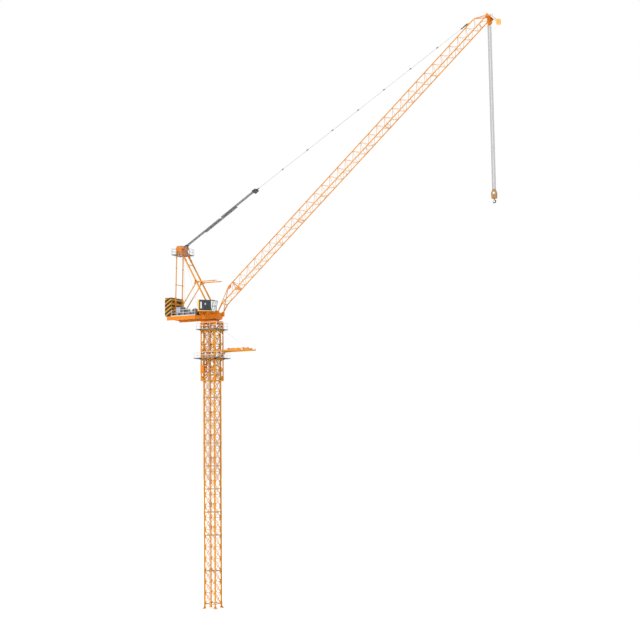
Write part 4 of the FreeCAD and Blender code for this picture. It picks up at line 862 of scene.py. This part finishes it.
aux.block((-280, -198, 5114), (-226, -130, 5192), 3)
aux.block((-276, -200, 5122), (-230, -197, 5184), 1.2)
aux.lathe((-253, -166, 5191), Z, [(0, 16), (0, 20), (6, 21), (22, 21), (26, 16), (30, 6), (30, 0.2)], 22)
aux.path([(-246, -134, 5190), (-250, -124, 5200), (-266, -104, 5198), (-300, -92, 5182)], 3.2, 8)
aux.path([(-446, -160, 5200), (-442, -158, 5212), (-438, -150, 5204), (-430, -146, 5184)], 2.6, 8)
aux.make("auxiliary_machinery", "upperworks", "machine")

cw = Shape()
for k in range(3):
    x = -848 + 43 * k + 20.5
    for y in (-120, 120):
        cw.path([(x, y - 14, 5449), (x, y - 12, 5451.2), (x, y, 5451.6), (x, y + 12, 5451.2), (x, y + 14, 5449)], 1.4, 6)
for y in (-150, 150):
    cw.rod((-847.4, y, 5400), (-719, y, 5400), 4, 10)
    cw.rod((-847.4, y, 5170), (-719, y, 5170), 4, 10)
    for z in (5170, 5400):
        cw.block((-722, y - 9, z - 9), (-718, y + 9, z + 9), 1)
cw.make("counterweight_tie_rods_and_eyes", "upperworks", "zinc")
cf = Shape()
for z in (5196, 5330):
    cf.beam((-714, -200, z), (-714, 200, z), 8, 13, Z)
for y in (-109, 109):
    cf.block((-722, y - 12, 5112), (-704, y + 12, 5150), 2)
for y in (-200, 200):
    cf.beam((-714, y, 5112), (-714, y, 5400), 8, 8)
cf.make("counterweight_retaining_frame", "upperworks", "orange")

# ----------------------------------------------------------------------------- cab
CL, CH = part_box("cab_shell")
cy0, cy1 = CL.y * 1000, CH.y * 1000


def low_z(x):
    return 5162 + (x + 122) * (5144 - 5162) / 282.0


def high_z(x):
    return 5368 + (x + 122) * (5340 - 5368) / 322.0


shell, trim, frm, pan = Shape(), Shape(), Shape(), Shape()
for side, yo, yi in ((-1, cy0, cy0 + 5), (1, cy1, cy1 - 5)):
    rec = yo - side * 2.6
    a, b = (rec, yi) if side < 0 else (yi, rec)
    shell.xz([(-92, low_z(-92) + 17), (152, low_z(152) + 12), (145, high_z(145) - 8), (-92, high_z(-92) - 8)] if side < 0 else [(-118, low_z(-118) + 3), (164, low_z(164) + 3), (162, 5168), (-118, 5246)], a, b)
    if side > 0:
        shell.xz([(-118, 5246), (-80, 5250), (-80, 5350), (-118, 5360)], a, b)
        shell.xz([(60, 5236), (92, 5234), (92, 5336), (60, 5338)], a, b)
        shell.xz([(-80, 5248), (60, 5240), (162, 5168), (92, 5168), (60, 5170)], a, b)
        shell.xz([(-118, high_z(-118) - 20), (196, high_z(196) - 8), (196, high_z(196) - 2), (-118, high_z(-118) - 2)], a, b)
    o0, o1 = (yo, yi) if side < 0 else (yi, yo)
    # rear post and sill in the light colour
    trim.xz([(-122, low_z(-122)), (-92, low_z(-92)), (-90, high_z(-90)), (-122, high_z(-122))], o0, o1)
    trim.xz([(-92, low_z(-92)), (160, low_z(160)), (162, low_z(160) + 12), (-92, low_z(-92) + 17)], o0, o1)
    # roof rail and window frame
    frm.xz([(-92, high_z(-92) - 9), (198, high_z(198) - 9), (200, high_z(200)), (-92, high_z(-92))], o0, o1)
    win = [(152, 5170), (164, 5168), (190, 5326), (146, 5331)] if side < 0 else [(92, 5172), (166, 5168), (190, 5326), (92, 5334)]
    for i in range(4):
        p, q = win[i], win[(i + 1) % 4]
        frm.beam((p[0], yo - side * 2.6, p[1]), (q[0], yo - side * 2.6, q[1]), 5, 7, (-(q[1] - p[1]), 0, q[0] - p[0]))
    if side > 0:
        frm.beam((118, yo - side * 2.6, 5171), (124, yo - side * 2.6, 5331), 4.6, 4, X)
        win = [(-80, 5250), (60, 5240), (60, 5338), (-80, 5350)]
        for i in range(4):
            p, q = win[i], win[(i + 1) % 4]
            frm.beam((p[0], yo - 2.6, p[1]), (q[0], yo - 2.6, q[1]), 5, 6, (-(q[1] - p[1]), 0, q[0] - p[0]))
# rear wall, roof and floor
shell.plate([(-119.5, cy0 + 3, 5164), (-119.5, cy1 - 3, 5164), (-119.5, cy1 - 3, 5366), (-119.5, cy0 + 3, 5366)], X, 5)
shell.plate([(-121, cy0 + 1, high_z(-121) - 3), (199, cy0 + 1, high_z(199) - 3), (199, cy1 - 1, high_z(199) - 3), (-121, cy1 - 1, high_z(-121) - 3)], (0.087, 0, 1), 5)
shell.plate([(-121, cy0 + 1, low_z(-121) + 3), (160, cy0 + 1, low_z(160) + 3), (160, cy1 - 1, low_z(160) + 3), (-121, cy1 - 1, low_z(-121) + 3)], (0.064, 0, 1), 5)
body = shell.make("cab_body", "upperworks", "slate")
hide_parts("cab_shell")
trim.plate([(-121.4, cy0 + 1, 5163), (-121.4, cy0 + 30, 5163), (-121.4, cy0 + 30, 5367), (-121.4, cy0 + 1, 5367)], X, 1.2)
trim.make("cab_rear_post_and_sill", "upperworks", "amber")
# windscreen frame
for y in (cy0 + 3, cy1 - 3):
    frm.beam((159, y, 5147), (197, y, 5337), 6, 7, X)
for x, z in ((160.5, 5148), (177, 5234), (196, 5336)):
    frm.beam((x, cy0 + 3, z), (x, cy1 - 3, z), 6, 5, X)
for k in range(9):
    # roof ribs and the sun visor
    x = -100 + 33 * k
    frm.beam((x, cy0 + 12, high_z(x) - 1.6), (x, cy1 - 12, high_z(x) - 1.6), 4, 2.8, Z)
frm.xz([(150, high_z(150) - 12), (199, high_z(199) - 11), (199, high_z(199) - 9), (150, high_z(150) - 10)], cy0 + 6, cy1 - 6)
# wiper, mirror arm and grab rail stay within the cab's own outline
frm.rod((168, -220, 5160), (182, -205, 5250), 1.3, 6)
frm.rod((181, -222, 5246), (184, -190, 5256), 1.6, 6)
frm.make("cab_frames_and_roof_rail", "upperworks", "skid")
pan.plate([(-66, cy0 + 1.6, 5206), (-38, cy0 + 1.6, 5204), (-38, cy0 + 1.6, 5322), (-66, cy0 + 1.6, 5325)], Y, 2.2)
pan.plate([(-63, cy0 + 0.7, 5210), (-41, cy0 + 0.7, 5208), (-41, cy0 + 0.7, 5318), (-63, cy0 + 0.7, 5321)], Y, 1.2)
pan.make("cab_bare_panel", "upperworks", "white")
lamp = Shape()
lamp.lathe((34, cy0 + 3.2, 5282), -Y, [(0, 0.2), (0, 15), (1.6, 15), (2.8, 12.5), (2.2, 10), (1.4, 0.2)], 26)
lamp.lathe((34, cy0 + 3.2, 5282), -Y, [(0, 15), (0, 17.5), (2.4, 17.5), (2.9, 15)], 26)
lamp.make("cab_side_lamp", "upperworks", "pendant")
seam = Shape()
for x in (8, 62):
    seam.beam((x, cy0 + 2.4, low_z(x) + 28), (x, cy0 + 2.4, high_z(x) - 10), 1.6, 1.4, Y)
for z in (5226,):
    seam.beam((8, cy0 + 2.4, z), (62, cy0 + 2.4, z - 3), 1.6, 1.4, Y)
seam.path([(68, cy0 + 2.6, 5210), (68, cy0 + 0.8, 5214), (68, cy0 + 0.8, 5252), (68, cy0 + 2.6, 5256)], 0.9, 6)
for x in (-84, -14, 4):
    seam.path([(x, cy0 + 2.6, 5190), (x, cy0 + 0.9, 5196), (x, cy0 + 0.9, 5330), (x, cy0 + 2.6, 5336)] if x == -84 else [(x, cy0 + 2.6, 5196), (x, cy0 + 1.6, 5197), (x + 3, cy0 + 1.6, 5197), (x + 3, cy0 + 2.6, 5196)], 0.9, 6)
for k in range(6):
    seam.plate([(-24, cy0 + 1.8, 5200 + 7 * k), (-2, cy0 + 1.8, 5199 + 7 * k), (-2, cy0 + 2.8, 5203 + 7 * k), (-24, cy0 + 2.8, 5204 + 7 * k)], Y, 0.9)
seam.make("cab_panel_seams_and_handles", "upperworks", "skid")
seat = Shape()
seat.block((20, -240, 5178), (66, -194, 5192), 5)
seat.plate([(20, -217, 5190), (28, -217, 5190), (16, -217, 5262), (8, -217, 5260)], Y, 42)
seat.block((30, -262, 5176), (96, -246, 5214), 4)
seat.block((30, -188, 5176), (96, -172, 5214), 4)
seat.rod((86, -254, 5214), (90, -254, 5228), 2, 8)
seat.rod((86, -180, 5214), (90, -180, 5228), 2, 8)
seat.lathe((42, -217, 5158), Z, [(0, 0.2), (0, 16), (4, 16), (6, 6), (20, 6)], 18)
seat.make("cab_seat_and_consoles", "upperworks", "rubber")
skid = Shape()
for x in (-96, -30, 40, 110):
    skid.block((x - 7, cy0 + 14, low_z(x) - 13), (x + 7, -142, low_z(x) - 1), 1)
skid.beam((-112, cy0 + 9, 5156), (152, cy0 + 9, 5139), 6, 12, Z)
skid.make("cab_support_rails", "upperworks", "skid")

# ----------------------------------------------------------------------------- A-frame
foot_a, top_a = V((58, 0, 5142)), V((-562, 0, 6262))
leg_d = (top_a - foot_a).normalized()
leg_n = V((-leg_d.z, 0, leg_d.x))
L = (top_a - foot_a).length
af, afd, ap = Shape(), Shape(), Shape()
for s in (-1, 1):
    off = V((0, s * 95, 0))
    for f in (0.30, 0.53, 0.76):
        c = foot_a + leg_d * (L * f) + off
        af.beam(c - leg_d * 16, c - leg_d * 2, 25, 25, leg_n, 0.1)
        af.beam(c + leg_d * 2, c + leg_d * 16, 25, 25, leg_n, 0.1)
        for e in (-9, 9):
            ap.rod(c - leg_d * 18 + Y * e + leg_n * 9, c + leg_d * 18 + Y * e + leg_n * 9, 2.0, 8)
            ap.rod(c - leg_d * 18 + Y * e - leg_n * 9, c + leg_d * 18 + Y * e - leg_n * 9, 2.0, 8)
    # foot shoe, upper brackets and the joint plate where struts and backstop meet the leg
    p = foot_a + leg_d * 26 + off
    for e in (-12, 12):
        afd.plate([(36, s * 95 + e, 5151), (84, s * 95 + e, 5151), p + Y * e + leg_n * -14 + leg_d * 20, p + Y * e + leg_n * 14 + leg_d * 20], Y, 4)
    afd.rod((54, s * 95 - 17, 5162), (54, s * 95 + 17, 5162), 6, 14)
    j = V((-262, s * 95, 5714))
    for e in (-11, 11):
        afd.plate([j + V((-44, e, -40)), j + V((0, e, -22)), j + V((58, e, -8)), j + V((58, e, 10)), j + V((8, e, 16)), j + V((-22, e, 44))], Y, 3)
    afd.rod(j + V((4, -15, 0)), j + V((4, 15, 0)), 5, 12)
    afd.rod(j + V((-28, -15, -26)), j + V((-28, 15, -26)), 4, 12)
    for d, w in ((L - 74, 34), (L - 150, 28)):
        c = foot_a + leg_d * d + off
        afd.beam(c - leg_d * 24, c + leg_d * 24, 30, w, leg_n, 0.15)
        afd.lathe(c + leg_n * -13 - Y * 8, Y, [(0, 0.2), (0, 8), (2, 10), (14, 10), (16, 8), (16, 0.2)], 20)
af.make("aframe_leg_collars", "upperworks", "orange")
afd.make("aframe_joint_plates_and_brackets", "upperworks", "deep")
ap.make("aframe_collar_bolts", "upperworks", "zinc")

hd, hb, hg = Shape(), Shape(), Shape()
for s in (-1, 1):
    y = s * 102.0
    for x, z in ((-674, 6250), (-640, 6262), (-600, 6262), (-562, 6250), (-672, 6350), (-650, 6380), (-572, 6380), (-672, 6300)):
        hb.bolt((x, y, z), Y * s, 2.4, 2.4)
    hd.lathe((-606, s * 102, 6342), Y * s, [(0, 7.2), (0, 12), (2, 12), (3, 9.5), (3, 0.2)], 24)
    hd.lathe((-545, s * 102, 6372), Y * s, [(0, 0.2), (0, 8.6), (2.4, 8.6), (3.2, 6.5), (3.2, 0.2)], 20)
    # edge flange all round the cheek
    rim = [(-684, 6236), (-548, 6236), (-538, 6262), (-566, 6320), (-532, 6358), (-534, 6382), (-556, 6392), (-660, 6392), (-684, 6360)]
    for i in range(len(rim)):
        p, q = rim[i], rim[(i + 1) % len(rim)]
        p, q = V((p[0], s * 95, p[1])), V((q[0], s * 95, q[1]))
        c = V((-612, s * 95, 6318))
        p += (c - p) * 0.035
        q += (c - q) * 0.035
        hd.beam(p, q, 14, 4, (-(q - p).z, 0, (q - p).x))
hd.beam((-652, -88, 6387), (-652, 88, 6387), 12, 8, Z)
hd.beam((-676, -88, 6243), (-676, 88, 6243), 12, 8, Z)
hd.beam((-679, -88, 6326), (-679, 88, 6326), 8, 10, Z)
hd.plate([(-680, 0, 6246), (-664, 0, 6246), (-650, 0, 6384), (-658, 0, 6386), (-680, 0, 6350)], Y, 5)
hd.make("aframe_head_flanges_and_caps", "upperworks", "deep")
hb.make("aframe_head_bolts", "upperworks", "zinc")
for y in (-54, -18, 18, 54):
    # rope keepers over each sheave and the spoke rings
    hg.path([(-606 + 32.5 * math.cos(t), y, 6342 + 32.5 * math.sin(t)) for t in [math.radians(60 + 12 * k) for k in range(11)]], 1.6, 6)
    for e in (-5.4, 5.4):
        hg.lathe((-606, y + e - 0.6, 6342), Y, [(0, 8), (0, 14), (1.2, 14), (1.2, 8)], 22)
        hg.lathe((-606, y + e - 0.5, 6342), Y, [(0, 21), (0, 25), (1.0, 25), (1.0, 21)], 30)
        for k in range(6):
            a = 2 * math.pi * k / 6
            hg.beam((-606 + 13 * math.cos(a), y + e, 6342 + 13 * math.sin(a)), (-606 + 22 * math.cos(a), y + e, 6342 + 22 * math.sin(a)), 3, 1.4, Y)
hg.make("aframe_sheave_spokes_and_keepers", "upperworks", "deep")

# fixed rope runs on the upperworks: luffing rope up the rear, hoist rope up to the head
rr = Shape()
for y0, y1 in ((-20, -18), (6, 18)):
    rr.rod((-573, y0, 5196), (-576, y1, 6342), 1.3, 8)
rr.rod((-268, 4, 5196), (-576, -54, 6340), 1.3, 8)
rr.make("machinery_rope_runs", "upperworks", "pendant")

tl, tb = Shape(), Shape()
for s in (-1, 1):
    y = s * 109
    for z in (5230, 5450, 5690, 5990, 6180):
        x = -697 + (z - 5050) * 35.0 / 1250
        tl.block((x - 11, y - 11, z - 9), (x + 11, y + 11, z - 1), 1)
        tl.block((x - 11, y - 11, z + 1), (x + 11, y + 11, z + 9), 1)
        for e in (-8, 8):
            tb.rod((x + e, y - 8, z - 12), (x + e, y - 8, z + 12), 1.8, 6)
            tb.rod((x + e, y + 8, z - 12), (x + e, y + 8, z + 12), 1.8, 6)
    tl.plate([(-716, y + 9, 5112), (-676, y + 9, 5112), (-680, y + 9, 5168), (-706, y + 9, 5168)], Y, 4)
    tl.plate([(-716, y - 9, 5112), (-676, y - 9, 5112), (-680, y - 9, 5168), (-706, y - 9, 5168)], Y, 4)
    # strut shoes and their turnbuckle sleeves
    d = (V((-262, 0, 5712)) - V((-700, 0, 5100))).normalized()
    n = V((-d.z, 0, d.x))
    for k in (0.14, 0.5, 0.86):
        c = V((-700, s * 95, 5100)) + d * (752 * k)
        tl.beam(c - d * 17, c + d * 17, 16, 18, n)
    e0 = V((112, s * 95, 5716))
    tl.lathe(e0 - X * 26, X, [(0, 5), (0, 11), (14, 11), (18, 12), (26, 12), (27, 5)], 18)
    tl.lathe(e0 + X * 30, X, [(0, 5.1), (0, 8), (8, 8), (8, 0.2)], 16)
    for x in (-200, -110, -20, 60):
        tl.block((x - 3, s * 95 - 9.5, 5706.5), (x + 3, s * 95 + 9.5, 5725.5), 1)
tl.make("tie_and_strut_collars", "upperworks", "orange")
tb.make("tie_collar_bolts", "upperworks", "zinc")
pl = Shape()
for s in (-1, 1):
    for x in (-744, -650, -560, -466):
        pl.beam((x, s * 117, 6231), (x, s * 151, 6231), 5, 6, Z)
    for x in (-650, -600):
        pl.plate([(x, s * 103, 6244), (x, s * 103, 6212), (x, s * 136, 6230)], X, 3)
    pl.beam((-751, s * 150, 6231), (-459, s * 150, 6231), 3, 6, Z)
pl.beam((-750, -150, 6231), (-750, 150, 6231), 3, 6, Z)
pl.beam((-460, -150, 6231), (-460, 150, 6231), 3, 6, Z)
pl.make("aframe_platform_bearers", "upperworks", "dark")

# ----------------------------------------------------------------------------- jib
jc, jb, jd = Shape(), Shape(), Shape()
tt_ = 49 + 178
stations = [530] + [1082 + 552 * k for k in range(10)]
for s_ in stations:
    for y, t in ((-98.7, 49), (98.7, 49), (0, tt_)):
        for e in (-15, 3):
            jc.beam(jib_point(s_ + e, y, t), jib_point(s_ + e + 12, y, t), 18.5, 18.5, JT, 0.14)
        for a, b in ((0, 9.2), (0, -9.2), (9.2, 0), (-9.2, 0)):
            jb.rod(jib_point(s_ - 17, y + a, t + b), jib_point(s_ + 17, y + a, t + b), 1.7, 6)
for s_ in (1082, 2738, 4394, 6050):
    # small stand-offs with rope guides on the top chord
    for y in (-6, 6):
        jd.beam(jib_point(s_ + 30, y, tt_ + 6), jib_point(s_ + 30, y, tt_ + 22), 3, 6, JS)
    jd.rod(jib_point(s_ + 30, -9, tt_ + 19), jib_point(s_ + 30, 9, tt_ + 19), 3.2, 10)
jc.make("jib_section_collars", "jib", "orange")
jb.make("jib_section_bolts", "jib", "zinc")
jd.make("jib_rope_guides", "jib", "orange")
jg = Shape()
# stiff plate and portal at the first joint, heel eyes, and the foot's cover plates
jg.plate([jib_point(492, -92, 49), jib_point(600, -92, 49), jib_point(566, 20, 49), jib_point(540, 92, 49), jib_point(508, 92, 49), jib_point(508, -20, 49)], JT, 4)
for sg in (-1, 1):
    p0, p1 = jib_point(530, sg * 92, 56), jib_point(530, sg * 6, tt_ - 6)
    jg.beam(p0, p1, 15, 12, JS, 0.15)
    jg.plate([jib_point(404, sg * 3, tt_ - 10), jib_point(470, sg * 3, tt_ - 8), jib_point(448, sg * 10, tt_ - 40), jib_point(380, sg * 8, tt_ - 40)], Y, 3)
    for e in (-6.6, 6.6):
        jg.lathe(jib_point(0, sg * 95 + e - 0.9, 0), Y, [(0, 6.4), (0, 14), (1.8, 14), (1.8, 6.4)], 22)
    q0, q1 = jib_point(60, sg * 96, 20), jib_point(158, sg * 98.7, 49)
    jg.beam(q0, q1, 19, 7, JT, 0.12)
jg.make("jib_portal_and_heel_plates", "jib", "deep")
jh = Shape()
for sg in (-1, 1):
    jh.plate([jib_point(6797, sg * 104, 22), jib_point(6831, sg * 104, 22), jib_point(6831, sg * 104, 74), jib_point(6797, sg * 104, 74)], Y, 3)
    jh.plate([jib_point(6738, sg * 92, 46), jib_point(6797, sg * 92, 46), jib_point(6797, sg * 60, 46), jib_point(6775, sg * 40, 46)], JT, 4)
    jh.lathe(jib_point(6736, sg * 17 - 1.5, -38), Y, [(0, 0.2), (0, 12), (3, 12), (3, 0.2)], 20)
    jh.plate([jib_point(6797, sg * 30, 30), jib_point(6722, sg * 18, -10), jib_point(6742, sg * 18, -46), jib_point(6800, sg * 30, -8)], Y, 4)
    jh.beam(jib_point(6700, sg * 20, -50), jib_point(6700, sg * 13, -50), 16, 4, JT)
jh.plate([jib_point(6797, -98, 20), jib_point(6797, 98, 20), jib_point(6797, 40, -34), jib_point(6797, -40, -34)], JS, 6)
jh.plate([jib_point(6829, -98, 20), jib_point(6829, 98, 20), jib_point(6829, 40, -24), jib_point(6829, -40, -24)], JS, 4)
for y in (-70, -35, 35, 70):
    jh.plate([jib_point(6800, y, 21), jib_point(6828, y, 21), jib_point(6828, y, -8), jib_point(6800, y, -14)], Y, 3)
jh.make("jib_head_plates", "jib", "deep")
sh = Shape()
for e in (-6.4, 6.4):
    sh.lathe(jib_point(6736, e - 0.6, -38), Y, [(0, 5.4), (0, 11), (1.2, 11), (1.2, 5.4)], 20)
    sh.lathe(jib_point(6736, e - 0.5, -38), Y, [(0, 20), (0, 25.4), (1, 25.4), (1, 20)], 28)
    for k in range(6):
        a = 2 * math.pi * k / 6
        c = jib_point(6736, e, -38)
        sh.beam(c + V((10 * math.cos(a), 0, 10 * math.sin(a))), c + V((21 * math.cos(a), 0, 21 * math.sin(a))), 3, 1.4, Y)
sh.make("jib_head_sheave_spokes", "jib", "sheave")
bx = Shape()
bx.block((5374, -33, 9552), (5430, 33, 9560), 2)
bx.block((5374, -33, 9630), (5430, 33, 9638), 2)
for s in (-1, 1):
    bx.block((5380, s * 31 - 1.6, 9570), (5424, s * 31 + 1.6, 9622), 1)
    bx.rod((5402, s * 32, 9596), (5402, s * 34, 9596), 9, 16)
for k in range(4):
    bx.plate([(5434, -22, 9574 + 12 * k), (5434, 22, 9574 + 12 * k), (5431, 22, 9580 + 12 * k), (5431, -22, 9580 + 12 * k)], X, 1)
bx.make("tip_box_covers", "jib", "amber")
br_ = Shape()
tip = jib_point(6831, 0, 45)
for y in (-14, 14):
    br_.rod(tip + V((2, y, 30)), (5376, y, 9634), 2.2, 8)
    br_.rod(tip + V((46, y, 10)), tip + V((46, y, 28)), 1.8, 6)
    br_.rod(tip + V((2, y, 8)), tip + V((2, y, 30)), 2.2, 8)
br_.lathe((5366, 0, 9612), X, [(0, 0.2), (0, 7), (5, 9), (5, 0.2)], 16)
br_.make("tip_box_rails", "jib", "dark")

# ----------------------------------------------------------------------------- luffing line
Hh, B0 = V((-545, 0, 6372)), V((945, 0, 7292))
u1 = (B0 - Hh).normalized()
n1 = V((-u1.z, 0, u1.x))
L1 = (B0 - Hh).length
E = jib_point(6480, 0, 250)
u2 = (E - B0).normalized()
n2 = V((-u2.z, 0, u2.x))
L2 = (E - B0).length


def al1(d, y=0.0, n=0.0):
    return Hh + u1 * d + n1 * n + V((0, y, 0))


rs = Shape()
for y in (-33, -11, 11, 33):
    for n in (5.5, 12.5):
        rs.lathe(al1(44, y, n), u1, [(0, 0.2), (0, 3.6), (16, 4.2), (20, 2.7)], 10)
rs.beam(al1(46, -40, 9), al1(46, 40, 9), 9, 16, n1)
for s in (-1, 1):
    rs.plate([al1(-14, s * 64, -10), al1(-14, s * 64, 10), al1(50, s * 44, 15), al1(50, s * 44, 3)], Y, 4)
rs.make("luffing_rope_sockets", "luffing_rope_top", "dark")
clamp = Shape()
for d in (620, 1100):
    clamp.beam(al1(d - 5, 0, -9), al1(d + 5, 0, -9), 78, 17, n1, 0.2)
clamp.make("luffing_rope_spreaders", "luffing_rope_mid", "rope")
fb_ = Shape()
b0_, b1_ = L1 - 96, L1 - 30
for s in (-1, 1):
    for pts in ([(b0_ - 4, -26), (b1_ + 4, -20), (b1_ + 16, 0), (b1_ + 4, 20), (b0_ - 4, 26)],):
        fb_.plate([al1(d, s * 50, n) for d, n in pts], Y, 5)
for k, y in enumerate((-33, -11, 11, 33)):
    fb_.lathe(al1(L1 - 66, y - 5, 0), Y, [(0, 4), (0, 27), (2, 28), (5, 24), (8, 28), (10, 27), (10, 4)], 24)
for d in (L1 - 92, L1 - 66, L1 - 40):
    fb_.rod(al1(d, -55, 0), al1(d, 55, 0), 4.4, 12)
fb_.beam(al1(L1 - 24, 0, 0), al1(L1 - 10, 0, 0), 34, 22, n1, 0.2)
fb_.make("floating_block_sheaves_and_cheeks", "luffing_rope_low", "dark")
pd = Shape()
for i in range(9):
    c = B0 + u2 * (14 + i * (L2 - 60) / 8)
    for s in (-1, 1):
        pd.beam(c - u2 * 18 + Y * (s * 9), c + u2 * 18 + Y * (s * 9), 3, 13, n2, 0.2)
    for e in (-11, 11):
        pd.rod(c + u2 * e - Y * 12, c + u2 * e + Y * 12, 3.2, 10)
pd.beam(E - u2 * 120, E - u2 * 34, 13, 16, n2, 0.2)
for s in (-1, 1):
    pd.plate([E - u2 * 56 + Y * (s * 12) - n2 * 7, E + u2 * 8 + Y * (s * 12) - n2 * 9, E + u2 * 14 + Y * (s * 12), E + u2 * 8 + Y * (s * 12) + n2 * 9, E - u2 * 56 + Y * (s * 12) + n2 * 7], Y, 3)
pd.rod(E - Y * 17, E + Y * 17, 5.4, 14)
pd.make("pendant_joint_links", "pendants", "dark")

# ----------------------------------------------------------------------------- hook block and hook
C = jib_point(6736, 0, -38)
top = 6840.0
hk, hs, hcap = Shape(), Shape(), Shape()
for s in (-1, 1):
    y = s * 21.0
    rim = [(-40, -150), (-46, -60), (-20, 0), (20, 0), (46, -60), (40, -150)]
    for i in range(len(rim)):
        p, q = rim[i], rim[(i + 1) % len(rim)]
        p, q = V((C.x + p[0] * 0.95, s * 19, top + p[1] * 0.985 - 1)), V((C.x + q[0] * 0.95, s * 19, top + q[1] * 0.985 - 1))
        hk.beam(p, q, 10, 4.5, (-(q - p).z, 0, (q - p).x), 0.2)
    hk.plate([(C.x - 32, y, top - 140), (C.x + 32, y, top - 140), (C.x + 34, y, top - 104), (C.x - 34, y, top - 104)], Y, 4)
    hk.plate([(C.x - 26, y, top - 24), (C.x + 26, y, top - 24), (C.x + 14, y, top - 5), (C.x - 14, y, top - 5)], Y, 4)
    for x, z in ((-28, -134), (28, -134), (-28, -110), (28, -110), (-12, -12), (12, -12)):
        hcap.bolt((C.x + x, y + s * 1.8, top + z), Y * s, 2.6, 3.4)
    hs.lathe((C.x, y - s * 1, top - 60), Y * s, [(0, 0.2), (0, 20), (3.0, 20), (4.6, 16), (4.6, 8), (3.6, 7), (3.6, 0.2)], 28)
hk.make("hook_block_flanges", "hoist_fall", "brown")
hs.make("hook_block_sheave_caps", "hoist_fall", "white")
hcap.make("hook_block_bolts", "hoist_fall", "zinc")
hv = Shape()
hv.lathe((C.x, -6.4, top - 60), Y, [(0, 6.2), (0, 23), (1.4, 25), (3.4, 25.4), (6.4, 22.6), (9.4, 25.4), (11.4, 25), (12.8, 23), (12.8, 6.2)], 32)
for dx, dy in ((-16, -9), (-5.5, -9), (5.5, 9), (16, 9)):
    hv.lathe((C.x + dx, dy, top - 4), Z, [(0, 0.2), (0, 4), (16, 3.6), (20, 2.6)], 10)
    hv.lathe((C.x + dx, dy, C.z - 68), Z, [(0, 2.6), (4, 3.4), (16, 3.8), (18, 0.2)], 10)
hv.make("hook_block_sheave_and_sockets", "hoist_fall", "sheave")

hz = 6690.0
cx, cz = C.x, hz - 46
hook = Shape()
hook.lathe((C.x, 0, hz - 26), Z, [(0, 7.6), (3, 7.2), (6, 5.98), (48, 5.98)], 20)
hook.lathe((C.x, 0, 6714), Z, [(0, 5.98), (0, 9.8), (5, 9.8), (6, 8.6), (6, 0.2)], 20)
pts, rad = [], []
for k in range(37):
    a = math.radians(90 - 7.5 * k)
    R = 22.0
    pts.append(V((cx + R * math.cos(a), 0, cz + R * math.sin(a))))
pts.append(V((cx - 21.9, 0, cz + 7)))
pts.append(V((cx - 21.2, 0, cz + 13)))


def hook_r(f):
    if f < 0.12:
        return 7.4 + 4 * f
    if f < 0.7:
        return 7.9 + 2.2 * math.sin((f - 0.12) / 0.58 * math.pi)
    return 7.9 - 5.6 * (f - 0.7) / 0.3


hook.path(pts, lambda f: min(hook_r(f), 6.95 if f < 0.02 else 9.0), 14)
bill = hook.make("hook_forging", "hook", "black")
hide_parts("load_hook")
latch = Shape()
latch.plate([(cx - 19, 0, cz + 11), (cx - 16, 0, cz + 13), (cx + 2, 0, cz + 17), (cx + 1, 0, cz + 14), (cx - 12, 0, cz + 10)], Y, 5)
latch.rod((cx + 1, -6, cz + 15.5), (cx + 1, 6, cz + 15.5), 2.2, 10)
latch.make("hook_latch", "hook", "zinc")

# ----------------------------------------------------------------------------- floor, light and camera
me = bpy.data.meshes.new("studio_floor")
ring = [(math.cos(2 * math.pi * k / 96) * 70 + 1, math.sin(2 * math.pi * k / 96) * 70 + 20, 0.0) for k in range(96)]
me.from_pydata(ring, [], [tuple(range(96))])
floor = bpy.data.objects.new("studio_floor", me)
bpy.context.scene.collection.objects.link(floor)
m, nt, bsdf, tc = new_material("studio_floor")
nt.links.new(blend_colour(nt, ramp(nt, noise(nt, tc, 0.6, 3.0), 0.3, 0.7), (0.93, 0.93, 0.93), (0.95, 0.95, 0.95)), bsdf.inputs["Base Color"])
bsdf.inputs["Roughness"].default_value = 0.9
bsdf.inputs["Emission Color"].default_value = (1, 1, 1, 1)
bsdf.inputs["Emission Strength"].default_value = 0.10
me.materials.append(m)

scene = bpy.context.scene
world = bpy.data.worlds.new("studio")
scene.world = world
world.use_nodes = True
world.node_tree.nodes["Background"].inputs[0].default_value = (1, 1, 1, 1)
world.node_tree.nodes["Background"].inputs[1].default_value = 1.0
sun = bpy.data.lights.new("key", "SUN")
sun.energy = 1.9
sun.angle = math.radians(14)
sun.color = (1.0, 0.985, 0.955)
so = bpy.data.objects.new("key", sun)
scene.collection.objects.link(so)
so.rotation_mode = "QUATERNION"
so.rotation_quaternion = V((0.42, 0.62, -0.72)).to_track_quat("-Z", "Y")

yaw, pitch, roll = math.radians(25.251), math.radians(5.932), math.radians(-0.761)
fwd = V((-math.sin(yaw) * math.cos(pitch), math.cos(yaw) * math.cos(pitch), math.sin(pitch)))
right = V((math.cos(yaw), math.sin(yaw), 0))
upv = right.cross(fwd)
r2 = right * math.cos(roll) + upv * math.sin(roll)
u2_ = -right * math.sin(roll) + upv * math.cos(roll)
cam = bpy.data.cameras.new("camera")
cam.sensor_width = 36.0
cam.lens = 68.16
cam.clip_start, cam.clip_end = 0.1, 400
co = bpy.data.objects.new("camera", cam)
scene.collection.objects.link(co)
mat = Matrix((r2, u2_, -fwd)).transposed().to_4x4()
mat.translation = V((10.8693, -18.5473, 2.7733))
co.matrix_world = mat
scene.camera = co
scene.view_settings.view_transform = "Standard"
scene.view_settings.look = "None"
